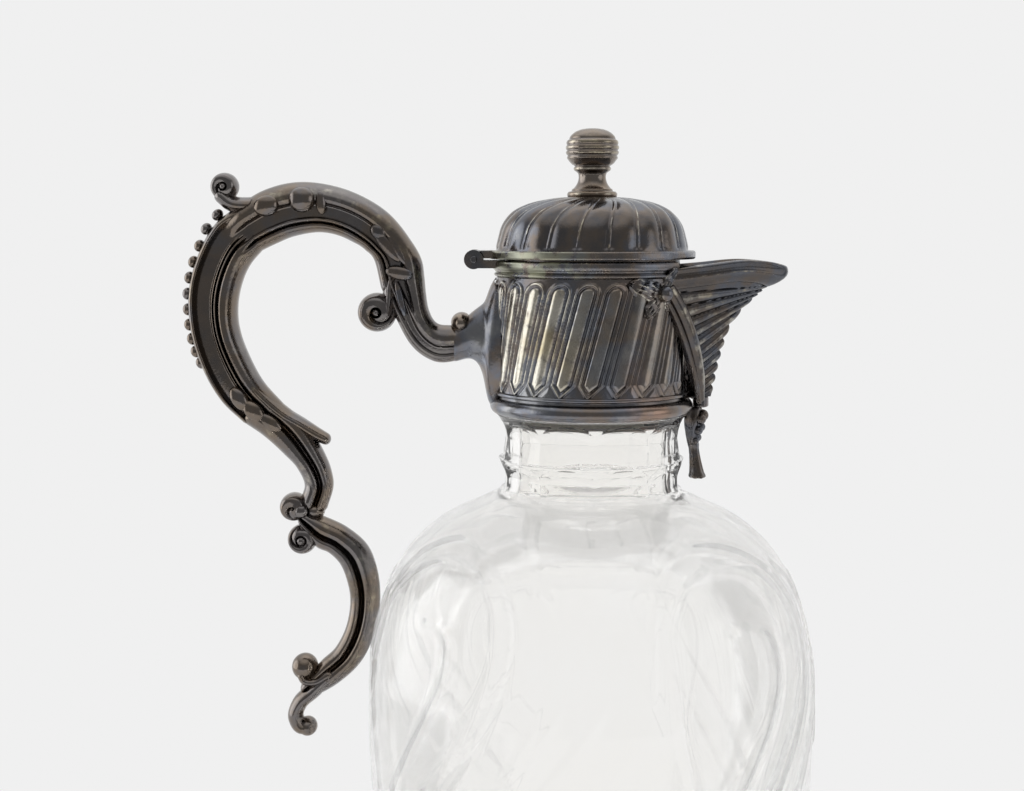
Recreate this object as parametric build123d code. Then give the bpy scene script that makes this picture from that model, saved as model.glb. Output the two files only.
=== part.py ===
from build123d import *
import os
from math import cos, hypot, radians, sin, sqrt

# A claret jug: a cut glass vessel with a metal collar, pouring spout, scroll handle and hinged domed lid.
# Millimetres. The origin is the centre of the flat foot, +Z is up, the spout points along +X, the handle
# lies along -X. The handle, the spout and the lid are symmetric about the plane Y = 0.

# ------------------------------------------------------------------ glass vessel
FOOT_RADIUS = 40.0
HEEL_TOP = 9.0
BELLY_RADIUS = 63.6
BELLY_HEIGHT = 104.6
BELLY_DROP = 154.0  # vertical half axis of the ellipse below the widest level
SHOULDER = [(63.2, 116.0), (60.9, 129.0), (56.9, 141.0), (51.0, 150.6), (42.6, 157.9), (32.5, 162.9)]
NECK_FOOT = (25.2, 167.6)
NECK_WAIST_RADIUS = 24.7
NECK_RIDGE = (26.1, 175.5)
NECK_TOP = (25.9, 188.4)
SEAT_RADIUS = 24.2
GLASS_TOP = 202.0
GLASS_WALL = 4.0
GLASS_FLOOR = 13.0
BORE_RADIUS = 20.8
BOSS_TURNS = (-47.0, 43.0, 133.0, 223.0)  # degrees from the front, -Y, towards the spout
BOSS_OUTLINE = [  # comma shape: degrees from the boss's own middle, height
    (-25.5, 128.0),
    (-25.5, 140.0),
    (-20.0, 148.0),
    (-10.0, 152.8),
    (3.0, 153.2),
    (14.0, 149.5),
    (20.5, 141.0),
    (21.5, 132.0),
    (15.0, 112.0),
    (5.0, 96.0),
    (-6.0, 82.0),
    (-17.0, 68.0),
    (-21.0, 84.0),
    (-24.0, 106.0),
]
BOSS_SKIN = [  # radius and height of the glass under the bosses, and how far they stand out there
    (61.0, 60.0, 0.6),
    (63.2, 96.0, 1.4),
    (63.2, 116.0, 1.9),
    (60.9, 129.0, 1.9),
    (56.9, 141.0, 1.9),
    (51.0, 150.6, 1.7),
    (42.6, 157.9, 1.5),
]

# ------------------------------------------------------------------ collar
SLEEVE_RADIUS = 26.8
SLEEVE_BORE = 25.6
SLEEVE_BOTTOM = 192.9
SLEEVE_TOP = 226.4
BEAD_LEVEL = 190.6
BEAD_RADIUS = 28.6
BEAD_HALF_HEIGHT = 2.2
RIM_TOP = 231.3
RIM_RADIUS = 28.1
WIRE_RADIUS = 0.65
LOWER_WIRE_LEVEL = 194.3
UPPER_WIRE_LEVEL = 225.2

# ------------------------------------------------------------------ spout
# Levels of the spout: height, reach of the nose, half width at the back plane
SPOUT_BACK = 18.0
SPOUT_LEVELS = [
    (192.9, 33.9, 9.2),
    (199.0, 35.1, 10.6),
    (206.0, 36.7, 12.4),
    (213.0, 39.2, 14.2),
    (218.7, 43.6, 15.6),
    (222.7, 47.8, 16.6),
    (226.0, 51.6, 17.2),
    (232.5, 55.2, 17.8),
]
SPOUT_WALL = 1.4
SPOUT_EDGE = [(18.0, 229.0), (30.3, 230.2), (44.3, 231.3), (52.8, 230.0), (60.0, 226.6)]
WINDOW_SILL = 204.0
LIP_BAND_BOTTOM = 224.8
LIP_PROUD = 1.0
LIP_NOSE_PROUD = 1.9

# ------------------------------------------------------------------ ribbon, bow and drop on the spout
RIBBON_TOP = (20.6, 17.6, 221.0)
RIBBON_MIDDLE = (25.7, 11.0, 206.0)
RIBBON_END = (30.0, 4.4, 191.8)
RIBBON_WIDTH = 5.4
RIBBON_THICKNESS = 2.6
BOW_ANGLE = 46.0  # from +X around the collar
BOW_LEVEL = 222.0
BOW_KNOT_RADIUS = 2.3
CLASP_CENTRE = (31.0, 0.0, 191.5)
CLASP_RADII = (2.2, 4.2)
CLASP_HEIGHT = 2.8
DROP_AXIS_X = 30.0
DROP_TOP = 190.1
HUSK_BOTTOM = 179.8
DROP_BOTTOM = 169.9
BERRY_RADIUS = 1.15
DROP_CLEARANCE = 0.1  # between the drop and the base bead
BERRY_PLACES = (-100, -50, 0, 50, 100)  # degrees round the husk from its front

# ------------------------------------------------------------------ hinge
HINGE_X = -33.0
HINGE_Z = 231.6
KNUCKLE_RADIUS = 2.66
HINGE_HALF_WIDTH = 8.0
KNUCKLE_SPLIT = 2.6
KNUCKLE_GAP = 0.3
PIN_RADIUS = 1.0
PIN_HEAD = 0.5
RUNNING_CLEARANCE = 0.05
LEAF_THICKNESS = 2.1

# ------------------------------------------------------------------ lid
LID_BOTTOM = 231.7
LID_RIM_TOP = 234.0
LID_RIM_RADIUS = 28.9
DOME = [(26.9, 234.0), (26.2, 237.2), (24.9, 241.3), (22.1, 244.7), (19.0, 246.4), (11.5, 248.3), (2.2, 249.0)]
DOME_WALL = 1.2
BEZEL_RADIUS = 24.6
BEZEL_BORE = 23.5
BEZEL_BOTTOM = 229.4
FINIAL_FOOT = [(6.8, 249.1), (5.9, 250.6), (4.7, 251.1), (3.5, 254.2), (5.0, 257.5)]
FINIAL_CENTRE = 262.4
FINIAL_RADIUS = 7.4
FINIAL_TOP = 267.8
FINIAL_BANDS = (260.4, 262.3, 264.2)
STUD_RADIUS = 1.5
STUD_BOTTOM = 243.2
STUD_TOP = 257.0
WASHER_RADIUS = 4.2
NUT_WIDTH = 5.5

# ------------------------------------------------------------------ handle
# Stations of each limb: outer edge (x, z), inner edge (x, z), width across
NECK_ARM = [
    (-38.6, 213.0, -38.6, 202.9, 9.6),
    (-43.4, 213.6, -44.8, 203.0, 9.6),
    (-45.8, 217.5, -51.3, 208.0, 10.0),
    (-46.5, 221.5, -55.4, 215.6, 10.8),
    (-46.9, 226.0, -59.2, 223.6, 11.8),
]
UPPER_ARM = [
    (-46.9, 226.0, -59.2, 223.6, 11.8),
    (-47.6, 231.0, -60.7, 230.4, 12.6),
    (-51.3, 237.7, -63.6, 234.2, 13.2),
    (-56.8, 244.3, -67.3, 236.5, 13.6),
    (-65.0, 249.5, -71.5, 238.3, 13.8),
    (-75.9, 252.7, -77.4, 239.0, 14.0),
    (-85.0, 252.7, -84.0, 237.7, 14.2),
    (-92.5, 250.4, -88.4, 235.9, 14.2),
    (-98.4, 246.8, -92.4, 234.0, 14.0),
]
GRIP = [
    (-98.4, 246.8, -92.4, 234.0, 14.0),
    (-105.1, 241.7, -95.6, 230.3, 14.4),
    (-110.3, 232.8, -98.0, 225.4, 14.8),
    (-113.1, 222.5, -99.4, 219.2, 15.0),
    (-112.8, 212.0, -99.3, 213.0, 14.8),
    (-109.8, 201.2, -97.2, 206.0, 14.2),
    (-104.3, 191.4, -92.6, 197.0, 13.4),
    (-98.4, 185.6, -87.2, 190.8, 12.4),
]
LOWER_SCROLL = [
    (-98.4, 185.6, -87.2, 190.8, 12.4),
    (-93.0, 181.9, -80.6, 185.0, 11.8),
    (-87.3, 176.7, -75.8, 177.0, 11.2),
    (-83.4, 172.4, -73.7, 171.4, 10.6),
    (-81.4, 167.6, -73.3, 166.6, 10.0),
    (-82.6, 163.6, -75.0, 161.0, 9.6),
]
TAIL_SCROLL = [
    (-80.4, 160.2, -82.6, 155.6, 9.2),
    (-75.9, 158.4, -78.9, 150.3, 9.6),
    (-69.4, 155.2, -74.6, 147.9, 9.8),
    (-63.7, 149.4, -71.2, 144.1, 10.0),
    (-61.3, 142.6, -69.4, 138.9, 10.0),
    (-60.7, 134.4, -68.8, 133.6, 10.0),
    (-61.9, 126.0, -69.9, 127.0, 9.8),
    (-66.0, 116.6, -73.2, 120.2, 9.4),
    (-72.6, 109.7, -77.4, 116.2, 9.0),
    (-80.0, 105.5, -82.4, 110.6, 8.6),
]
CHANNEL_WAIST = 0.80  # width of a limb at the middle of its channelled side, as a part of its full width
LINER_THICKNESS = 2.6
LINER_WIDTH = 0.72
SOCKET_SECTIONS = [  # distance from the axis, bottom, top, half width
    (-25.5, 189.6, 227.4, 9.2),
    (-28.5, 190.6, 223.9, 8.4),
    (-29.9, 195.2, 220.2, 7.4),
    (-32.2, 202.4, 217.9, 6.4),
    (-35.0, 203.6, 215.6, 5.6),
    (-38.6, 202.9, 213.0, 4.8),
]
SOCKET_BOSS = (-37.2, 213.6, 2.7, 8.0)
INNER_VOLUTE = (-60.5, 216.9, 5.4, 10.6)  # x, z, radius, width
LOWER_VOLUTE = (-85.4, 161.2, 4.0, 9.4)
TAIL_UPPER_VOLUTE = (-82.6, 151.4, 4.6, 9.2)
TAIL_LOWER_VOLUTE = (-83.0, 114.2, 4.5, 9.0)
THUMB_VOLUTE = (-102.9, 252.4, 3.4, 9.0)
THUMB_STALK = [
    (-99.0, 252.6, -92.6, 247.6, 8.6),
    (-102.9, 249.6, -98.6, 243.6, 8.2),
    (-106.2, 250.6, -102.4, 245.8, 7.6),
]
TAIL_TIP = [
    (-80.0, 105.5, -86.4, 107.6, 8.6),
    (-79.9, 99.6, -86.0, 102.6, 7.4),
    (-80.6, 95.4, -85.2, 98.4, 5.8),
    (-85.6, 93.9, -86.2, 97.4, 4.2),
]
ARM_COLLAR_STATIONS = [
    (-46.0, 226.8, -60.6, 224.9, 13.4),
    (-46.2, 229.4, -61.4, 228.3, 14.0),
]
TOP_LEAF = [
    (-68.6, 251.2, -71.6, 246.0, 7.0),
    (-76.0, 253.6, -76.6, 246.0, 11.4),
    (-85.2, 253.9, -84.8, 244.0, 13.2),
    (-92.9, 251.6, -90.0, 242.0, 12.6),
    (-97.6, 248.4, -95.0, 243.6, 9.0),
]
LOWER_LEAF = [
    (-91.0, 189.6, -88.4, 192.8, 11.0),
    (-86.6, 185.0, -84.2, 188.0, 10.2),
    (-81.4, 181.6, -79.8, 185.0, 8.6),
    (-76.4, 179.9, -75.0, 182.8, 6.2),
]
GRIP_BEADS = [
    (-105.2, 243.9),
    (-108.4, 240.0),
    (-110.4, 235.3),
    (-112.2, 230.8),
    (-113.4, 226.4),
    (-114.0, 221.9),
    (-114.0, 217.5),
    (-113.7, 213.2),
    (-113.0, 209.2),
    (-112.0, 205.6),
    (-110.6, 202.4),
]
BEAD_SIZE = 1.5
BEAD_SINK = 0.3  # how far the beads sit back into the rim of the grip


# ------------------------------------------------------------------ helpers
def turned(points):
    """Solid of revolution about Z from a closed outline of (radius, height) points and curves."""
    return revolve(Plane.XZ * make_face(points), Axis.Z)


def polygon(points):
    """Closed outline through (radius, height) points."""
    return Polyline(*points, close=True)


def ring(inner, outer, bottom, top):
    """Plain ring about Z."""
    return turned(polygon([(inner, bottom), (outer, bottom), (outer, top), (inner, top)]))


def post(radius, bottom, top):
    """Plain round bar about Z."""
    return Pos(0, 0, bottom) * extrude(Circle(radius), top - bottom)


def roller(x, z, radius, width, softness=0.3):
    """Round-edged disc with its axis along Y, as the rolled end of a scroll."""
    disc = Plane.XZ.offset(-width / 2) * Pos(x, z) * Circle(radius)
    body = extrude(disc, width)
    return fillet(body.edges().filter_by(GeomType.CIRCLE), radius * softness)


def biggest(shape):
    """The largest solid of a shape, without slivers left by a cut."""
    return shape.solids().sort_by(SortBy.VOLUME)[-1]


def inset(points, distance):
    """Outline points moved towards the axis side of the outline along its normal."""
    moved = []
    for i, (r, z) in enumerate(points):
        r0, z0 = points[max(i - 1, 0)]
        r1, z1 = points[min(i + 1, len(points) - 1)]
        length = hypot(r1 - r0, z1 - z0)
        moved.append((r - distance * (z1 - z0) / length, z + distance * (r1 - r0) / length))
    return moved


def limb(stations, waist=CHANNEL_WAIST):
    """Loft through rounded sections, each spanning an outer and an inner edge point, waisted at the sides."""
    flank = [(-1, 0), (-0.9, 0.66), (-0.62, 0.98), (0, waist), (0.62, 0.98), (0.9, 0.66), (1, 0)]
    sections = []
    for outer_x, outer_z, inner_x, inner_z, width in stations:
        across = Vector(inner_x - outer_x, 0, inner_z - outer_z)
        middle = Vector(outer_x + inner_x, 0, outer_z + inner_z) * 0.5
        plane = Plane(middle, x_dir=across, z_dir=across.cross(Vector(0, 1, 0)))
        near = [(u * across.length / 2, v * width / 2) for u, v in flank]
        far = [(u, -v) for u, v in reversed(near)]
        sides = [Spline(*near, tangents=[(0, 1), (0, -1)]), Spline(*far, tangents=[(0, -1), (0, 1)])]
        sections.append(plane * make_face(sides))
    return loft(sections)


# ------------------------------------------------------------------ glass and its bedding
def belly_radius(z):
    return BELLY_RADIUS * sqrt(1 - ((BELLY_HEIGHT - z) / BELLY_DROP) ** 2)


def boss_radius(z):
    """Radius of the glass under a boss at a height."""
    for (low_r, low_z, _), (high_r, high_z, _) in zip(BOSS_SKIN, BOSS_SKIN[1:]):
        if z <= high_z:
            break
    return low_r + (high_r - low_r) * (z - low_z) / (high_z - low_z)


def moulded_bosses():
    """Four comma-shaped bosses that stand proud of the belly and the shoulder."""
    skin = [(r, z) for r, z, _ in BOSS_SKIN]
    proud = []
    for (r, z), (out_r, out_z), (_, _, height) in zip(skin, inset(skin, -1.0), BOSS_SKIN):
        proud.append((r + (out_r - r) * height, z + (out_z - z) * height))
    limit = turned([Spline(*proud), Polyline(proud[-1], (0, proud[-1][1]), (0, proud[0][1]), proud[0])])
    outline = [(boss_radius(z) * sin(radians(around)), z) for around, z in BOSS_OUTLINE]
    bosses = []
    for turn in BOSS_TURNS:
        facing = radians(turn)
        plane = Plane((0, 0, 0), x_dir=(cos(facing), sin(facing), 0), z_dir=(sin(facing), -cos(facing), 0))
        bosses.append(extrude(plane * make_face(Spline(*outline, periodic=True)), 2 * BELLY_RADIUS) & limit)
    return bosses


def glass_vessel():
    """Hollow vessel with a thick floor, a full belly, a steep shoulder and a faceted neck."""
    lower = [(belly_radius(z), z) for z in (HEEL_TOP, 36.0, 70.0, BELLY_HEIGHT)]
    skin = lower + SHOULDER
    outer = Curve() + [
        Line((0, 0), (FOOT_RADIUS, 0)),
        Spline((FOOT_RADIUS, 0), skin[0], tangents=[(1, 0), (0.3, 1)]),
        Spline(*skin, NECK_FOOT, tangents=[(0.3, 1), (-0.6, 1)]),
        ThreePointArc(NECK_FOOT, (NECK_WAIST_RADIUS, 171.0), NECK_RIDGE),
        ThreePointArc(NECK_RIDGE, (NECK_WAIST_RADIUS, 181.4), NECK_TOP),
        Polyline(NECK_TOP, (SEAT_RADIUS, NECK_TOP[1]), (SEAT_RADIUS, GLASS_TOP), (0, GLASS_TOP), (0, 0)),
    ]
    wall = inset(skin, GLASS_WALL)[1:]
    inner = Curve() + [
        Line((0, GLASS_FLOOR), (FOOT_RADIUS - 4, GLASS_FLOOR)),
        Spline((FOOT_RADIUS - 4, GLASS_FLOOR), *wall, (BORE_RADIUS, 169.0), tangents=[(1, 0), (0, 1)]),
        Polyline((BORE_RADIUS, 169.0), (BORE_RADIUS, GLASS_TOP + 1), (0, GLASS_TOP + 1), (0, GLASS_FLOOR)),
    ]
    body = turned(outer)
    for boss in moulded_bosses():
        body += boss
    return biggest(body - turned(inner))


def plaster_bed():
    """Plaster that beds the glass neck in the metal sleeve."""
    return ring(SEAT_RADIUS, SLEEVE_BORE, SLEEVE_BOTTOM, GLASS_TOP - 1)


# ------------------------------------------------------------------ spout
def spout_body(nose_grow, side_grow, floor):
    """Solid of the spout: level sections that taper to a rounded nose, cut along its curved top edge."""
    sections = []
    for z, nose, half_width in SPOUT_LEVELS:
        reach = nose + nose_grow - SPOUT_BACK
        side = half_width + side_grow
        right = [(SPOUT_BACK + reach * t, -side * (1 - t) ** 0.75) for t in (0, 0.3, 0.6, 0.85, 0.96)]
        left = [(x, -y) for x, y in reversed(right)]
        flank = Spline(*right, (SPOUT_BACK + reach, 0), *left)
        sections.append(Pos(0, 0, z) * make_face([flank, Line(flank @ 1, flank @ 0)]))
    body = loft(sections)
    crest = Spline(*SPOUT_EDGE)
    above = make_face([crest, Polyline(crest @ 1, (60.0, 250.0), (18.0, 250.0), crest @ 0)])
    body -= extrude(Plane.XZ * above, 40, both=True)
    return body - Pos(0, 0, floor - 50) * Box(200, 200, 100)


def spout_shell(full, channel):
    """Thin walled spout, open at the top, that closes on the sleeve."""
    return biggest(full - channel - post(SLEEVE_RADIUS, 180, 240))


def spout_lip_moulding(full, proud, rim_disc):
    """Stepped band around the top edge of the spout."""
    band = proud - full - post(SLEEVE_RADIUS, 180, 240) - rim_disc
    return [s for s in band.solids() if s.volume > 20]


# ------------------------------------------------------------------ collar
def collar_rim_disc():
    """The rim moulding as a full disc: a cove below a rounded edge."""
    edge = [(27.0, SLEEVE_TOP), (27.3, 228.2), (RIM_RADIUS, 229.0), (RIM_RADIUS, 230.5), (27.5, RIM_TOP)]
    return turned(polygon([(0, SLEEVE_TOP), *edge, (0, RIM_TOP)]))


def collar_top_rim(rim_disc, spout_opening):
    return biggest(rim_disc - post(SLEEVE_BORE, 200, 240) - spout_opening)


def collar_sleeve(channel):
    """Tube around the neck with a window that opens into the spout."""
    window = channel - post(60, 180, WINDOW_SILL)
    return ring(SLEEVE_BORE, SLEEVE_RADIUS, SLEEVE_BOTTOM, SLEEVE_TOP) - window


def collar_base_bead():
    """Rounded bead that caps the foot of the sleeve, bored for the glass neck."""
    profile = [
        ThreePointArc(
            (BEAD_RADIUS - BEAD_HALF_HEIGHT, BEAD_LEVEL - BEAD_HALF_HEIGHT),
            (BEAD_RADIUS, BEAD_LEVEL),
            (BEAD_RADIUS - BEAD_HALF_HEIGHT, BEAD_LEVEL + BEAD_HALF_HEIGHT),
        ),
        Polyline(
            (BEAD_RADIUS - BEAD_HALF_HEIGHT, BEAD_LEVEL + BEAD_HALF_HEIGHT),
            (SEAT_RADIUS, BEAD_LEVEL + BEAD_HALF_HEIGHT),
            (SEAT_RADIUS, BEAD_LEVEL - BEAD_HALF_HEIGHT),
            (BEAD_RADIUS - BEAD_HALF_HEIGHT, BEAD_LEVEL - BEAD_HALF_HEIGHT),
        ),
    ]
    return turned(profile)


def collar_wire(level):
    """Thin half-round wire soldered around the sleeve."""
    wire = Pos(0, 0, level) * Torus(SLEEVE_RADIUS, WIRE_RADIUS)
    return wire - post(SLEEVE_RADIUS, level - 3, level + 3)


# ------------------------------------------------------------------ ribbon, bow and drop
def ribbon_strap(spout_outside):
    """Convex ribbon that follows the joint of the spout and the sleeve, front side."""
    path = Spline(*[(x, -y, z) for x, y, z in (RIBBON_TOP, RIBBON_MIDDLE, RIBBON_END)])
    sections = []
    for t, scale in ((0, 0.9), (0.33, 1.0), (0.66, 1.0), (1, 0.8)):
        point = path @ t
        outward = Vector(point.X, point.Y, 0)
        plane = Plane(point, x_dir=outward, z_dir=path % t)
        sections.append(plane * Ellipse(RIBBON_THICKNESS / 2, RIBBON_WIDTH / 2 * scale))
    return biggest(loft(sections) - spout_outside - post(SLEEVE_RADIUS, 180, 240))


def bow_knot(spout_outside):
    """Ribbon bow on the sleeve, front side: a round knot with three leaf-shaped loops."""
    angle = radians(BOW_ANGLE)
    outward = Vector(cos(angle), -sin(angle), 0)
    plane = Plane(outward * SLEEVE_RADIUS + Vector(0, 0, BOW_LEVEL), x_dir=(sin(angle), cos(angle), 0), z_dir=outward)
    leaves = [(-6.2, 0.6, 6.0, 2.7, -8), (-3.4, -4.6, 4.6, 2.2, 62), (1.6, 3.4, 3.6, 1.9, 68)]
    bow = Sphere(BOW_KNOT_RADIUS).moved(Location(plane))
    for x, y, length, breadth, tilt in leaves:
        blade = extrude(plane * Pos(x, y) * Rot(0, 0, tilt) * Ellipse(length, breadth), 6, both=True)
        bow += blade & ring(SLEEVE_RADIUS, SLEEVE_RADIUS + 1.3, 200, UPPER_WIRE_LEVEL - WIRE_RADIUS)
    return biggest(bow - post(SLEEVE_RADIUS, 180, 240) - spout_outside)


def ribbon_clasp():
    """Oval tie that gathers both ribbons above the drop."""
    x, y, z = CLASP_CENTRE
    tie = Pos(x, y, z - CLASP_HEIGHT / 2) * extrude(Ellipse(*CLASP_RADII), CLASP_HEIGHT)
    return fillet(tie.edges(), 0.5)


def bead_zone():
    """Space that the hanging drop leaves free round the collar's base bead."""
    return post(BEAD_RADIUS + DROP_CLEARANCE, BEAD_LEVEL - 2 * BEAD_HALF_HEIGHT, BEAD_LEVEL + 2 * BEAD_HALF_HEIGHT)


def drop_husk():
    """Upper part of the hanging drop: a husk that narrows downwards."""
    profile = [
        Line((0, DROP_TOP), (2.6, DROP_TOP)),
        Spline((2.6, DROP_TOP), (3.2, 186.4), (2.6, 183.2), (1.5, HUSK_BOTTOM)),
        Polyline((1.5, HUSK_BOTTOM), (0, HUSK_BOTTOM), (0, DROP_TOP)),
    ]
    return Pos(DROP_AXIS_X, 0, 0) * turned(profile) - bead_zone()


def drop_tail():
    """Lower part of the drop: a short flared tail, cut flat."""
    profile = [
        Line((0, HUSK_BOTTOM), (1.5, HUSK_BOTTOM)),
        Spline((1.5, HUSK_BOTTOM), (1.45, 176.0), (2.1, DROP_BOTTOM)),
        Polyline((2.1, DROP_BOTTOM), (0, DROP_BOTTOM), (0, HUSK_BOTTOM)),
    ]
    return Pos(DROP_AXIS_X, 0, 0) * turned(profile)


def drop_berries(husk):
    """Small round berries on the shoulder of the husk, on the side away from the collar."""
    berries = []
    for around in BERRY_PLACES:
        turn = radians(around)
        centre = Pos(DROP_AXIS_X + 3.0 * cos(turn), 3.0 * sin(turn), 187.2)
        berries.append(biggest(centre * Sphere(BERRY_RADIUS) - husk - bead_zone()))
    return berries


# ------------------------------------------------------------------ hinge
def knuckle(y_from, y_to, bore):
    """Round hinge knuckle on the pin axis."""
    tube = Circle(KNUCKLE_RADIUS) - Circle(bore)
    return extrude(Plane.XZ.offset(-y_to) * Pos(HINGE_X, HINGE_Z) * tube, y_to - y_from)


def leaf_plate(bottom, top, half_width):
    """Flat hinge leaf that runs from the pin axis to the jug's round rim."""
    x_from, x_to = HINGE_X, -22.0
    plate = Box(x_to - x_from, 2 * half_width, top - bottom)
    return Pos((x_from + x_to) / 2, 0, (bottom + top) / 2) * plate


def pin_zone(y_from, y_to):
    """Space kept clear for a knuckle of the other leaf."""
    cylinder = Circle(KNUCKLE_RADIUS + KNUCKLE_GAP)
    return extrude(Plane.XZ.offset(-y_to) * Pos(HINGE_X, HINGE_Z) * cylinder, y_to - y_from)


def hinge_lower_leaf(rim_disc):
    """Leaf on the collar with the two outer knuckles."""
    inner = KNUCKLE_SPLIT
    outer = HINGE_HALF_WIDTH
    leaf = leaf_plate(RIM_TOP - LEAF_THICKNESS, RIM_TOP, outer)
    for y_from, y_to in ((-outer, -inner), (inner, outer)):
        leaf += knuckle(y_from, y_to, PIN_RADIUS)
    leaf -= extrude(Plane.XZ.offset(-outer) * Pos(HINGE_X, HINGE_Z) * Circle(PIN_RADIUS), 2 * outer)
    return leaf - pin_zone(-inner, inner) - rim_disc - post(SLEEVE_RADIUS, 220, 240)


def hinge_upper_leaf():
    """Leaf on the lid with the middle knuckle."""
    inner = KNUCKLE_SPLIT - KNUCKLE_GAP
    outer = HINGE_HALF_WIDTH
    leaf = leaf_plate(LID_RIM_TOP - LEAF_THICKNESS, LID_RIM_TOP, outer)
    leaf += knuckle(-inner, inner, PIN_RADIUS + RUNNING_CLEARANCE)
    bore = Circle(PIN_RADIUS + RUNNING_CLEARANCE)
    leaf -= extrude(Plane.XZ.offset(-outer) * Pos(HINGE_X, HINGE_Z) * bore, 2 * outer)
    leaf -= pin_zone(-outer - 1, -inner) + pin_zone(inner, outer + 1)
    return biggest(leaf - post(LID_RIM_RADIUS, 220, 240))


def hinge_pin():
    """Pin with small round heads."""
    half = HINGE_HALF_WIDTH + PIN_HEAD
    pin = extrude(Plane.XZ.offset(-half) * Pos(HINGE_X, HINGE_Z) * Circle(PIN_RADIUS), 2 * half)
    return fillet(pin.edges().filter_by(GeomType.CIRCLE), 0.4)


# ------------------------------------------------------------------ lid
def lid_dome():
    """Thin domed shell, pierced at the crown for the stud."""
    inside = inset(DOME, DOME_WALL)
    inside[0] = (DOME[0][0] - DOME_WALL, DOME[0][1])
    inside[-1] = (DOME[-1][0], DOME[-1][1] - DOME_WALL)
    profile = [
        Spline(*DOME, tangents=[(-0.1, 1), (-1, 0)]),
        Line(DOME[-1], inside[-1]),
        Spline(*reversed(inside), tangents=[(1, 0), (0.1, -1)]),
        Line(inside[0], DOME[0]),
    ]
    return turned(profile)


def lid_rim():
    """Flat flange that the dome stands on, with a rounded edge."""
    flange = ring(BEZEL_RADIUS, LID_RIM_RADIUS, LID_BOTTOM, LID_RIM_TOP)
    outer_edges = flange.edges().filter_by(GeomType.CIRCLE).sort_by(SortBy.RADIUS)[-2:]
    return fillet(outer_edges, 0.6)


def lid_bezel():
    """Locating ring under the lid that drops into the collar."""
    return ring(BEZEL_BORE, BEZEL_RADIUS, BEZEL_BOTTOM, LID_RIM_TOP - 0.5)


def finial():
    """Turned knop: a waisted stem under a flattened ball with three raised bands."""
    foot = FINIAL_FOOT
    half_height = FINIAL_TOP - FINIAL_CENTRE
    ball_start = (foot[-1][0], foot[-1][1])
    ball_side = (FINIAL_RADIUS, FINIAL_CENTRE)
    profile = [
        Line((0, foot[0][1]), foot[0]),
        Line(foot[0], foot[1]),
        Spline(foot[1], foot[2], foot[3], ball_start),
        Spline(ball_start, (6.8, FINIAL_CENTRE - 2.6), ball_side, tangents=[(1, 0.9), (0, 1)]),
        Spline(ball_side, (5.4, FINIAL_CENTRE + half_height * 0.70), (0, FINIAL_TOP), tangents=[(0, 1), (-1, 0)]),
        Line((0, FINIAL_TOP), (0, foot[0][1])),
    ]
    knop = turned(profile)
    for level in FINIAL_BANDS:
        knop += Pos(0, 0, level) * Torus(FINIAL_RADIUS - 0.35 - 0.08 * abs(level - FINIAL_CENTRE), 0.55)
    return knop - post(STUD_RADIUS, 240, STUD_TOP)


def finial_stud():
    """Threaded stud that holds the finial through the crown of the dome."""
    return post(STUD_RADIUS, STUD_BOTTOM, STUD_TOP)


def finial_washer():
    top = DOME[-1][1] - DOME_WALL - 0.25
    return ring(STUD_RADIUS, WASHER_RADIUS, top - 0.8, top)


def finial_nut():
    top = DOME[-1][1] - DOME_WALL - 0.25 - 0.8
    nut = Pos(0, 0, top - 2.4) * extrude(RegularPolygon(NUT_WIDTH / 2, 6, major_radius=False), 2.4)
    return nut - post(STUD_RADIUS, 230, 260)


# ------------------------------------------------------------------ handle
def handle_socket(bead, wires):
    """Trumpet-shaped socket soldered to the sleeve, which narrows into the arm of the handle."""
    sections = []
    for x, bottom, top, half_width in SOCKET_SECTIONS:
        plane = Plane((x, 0, (bottom + top) / 2), x_dir=(0, 1, 0), z_dir=(1, 0, 0))
        sections.append(plane * Ellipse(half_width, (top - bottom) / 2))
    socket = loft(sections) - post(SLEEVE_RADIUS, 180, 240) - bead
    for wire in wires:
        socket -= wire
    return biggest(socket)


def handle_grip_liner():
    """Ridged liner along the inside of the grip."""
    stations = []
    for outer_x, outer_z, inner_x, inner_z, width in GRIP:
        length = hypot(inner_x - outer_x, inner_z - outer_z)
        share = LINER_THICKNESS / length
        start_x = inner_x + (outer_x - inner_x) * share
        start_z = inner_z + (outer_z - inner_z) * share
        stations.append((start_x, start_z, inner_x, inner_z, width * LINER_WIDTH))
    return limb(stations, waist=1.0)


def handle_beads(grip):
    """Row of round beads along the back of the grip."""
    beads = []
    for x, z in GRIP_BEADS:
        beads.append(biggest(Pos(x + BEAD_SINK, 0, z) * Sphere(BEAD_SIZE) - grip))
    return beads


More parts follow.
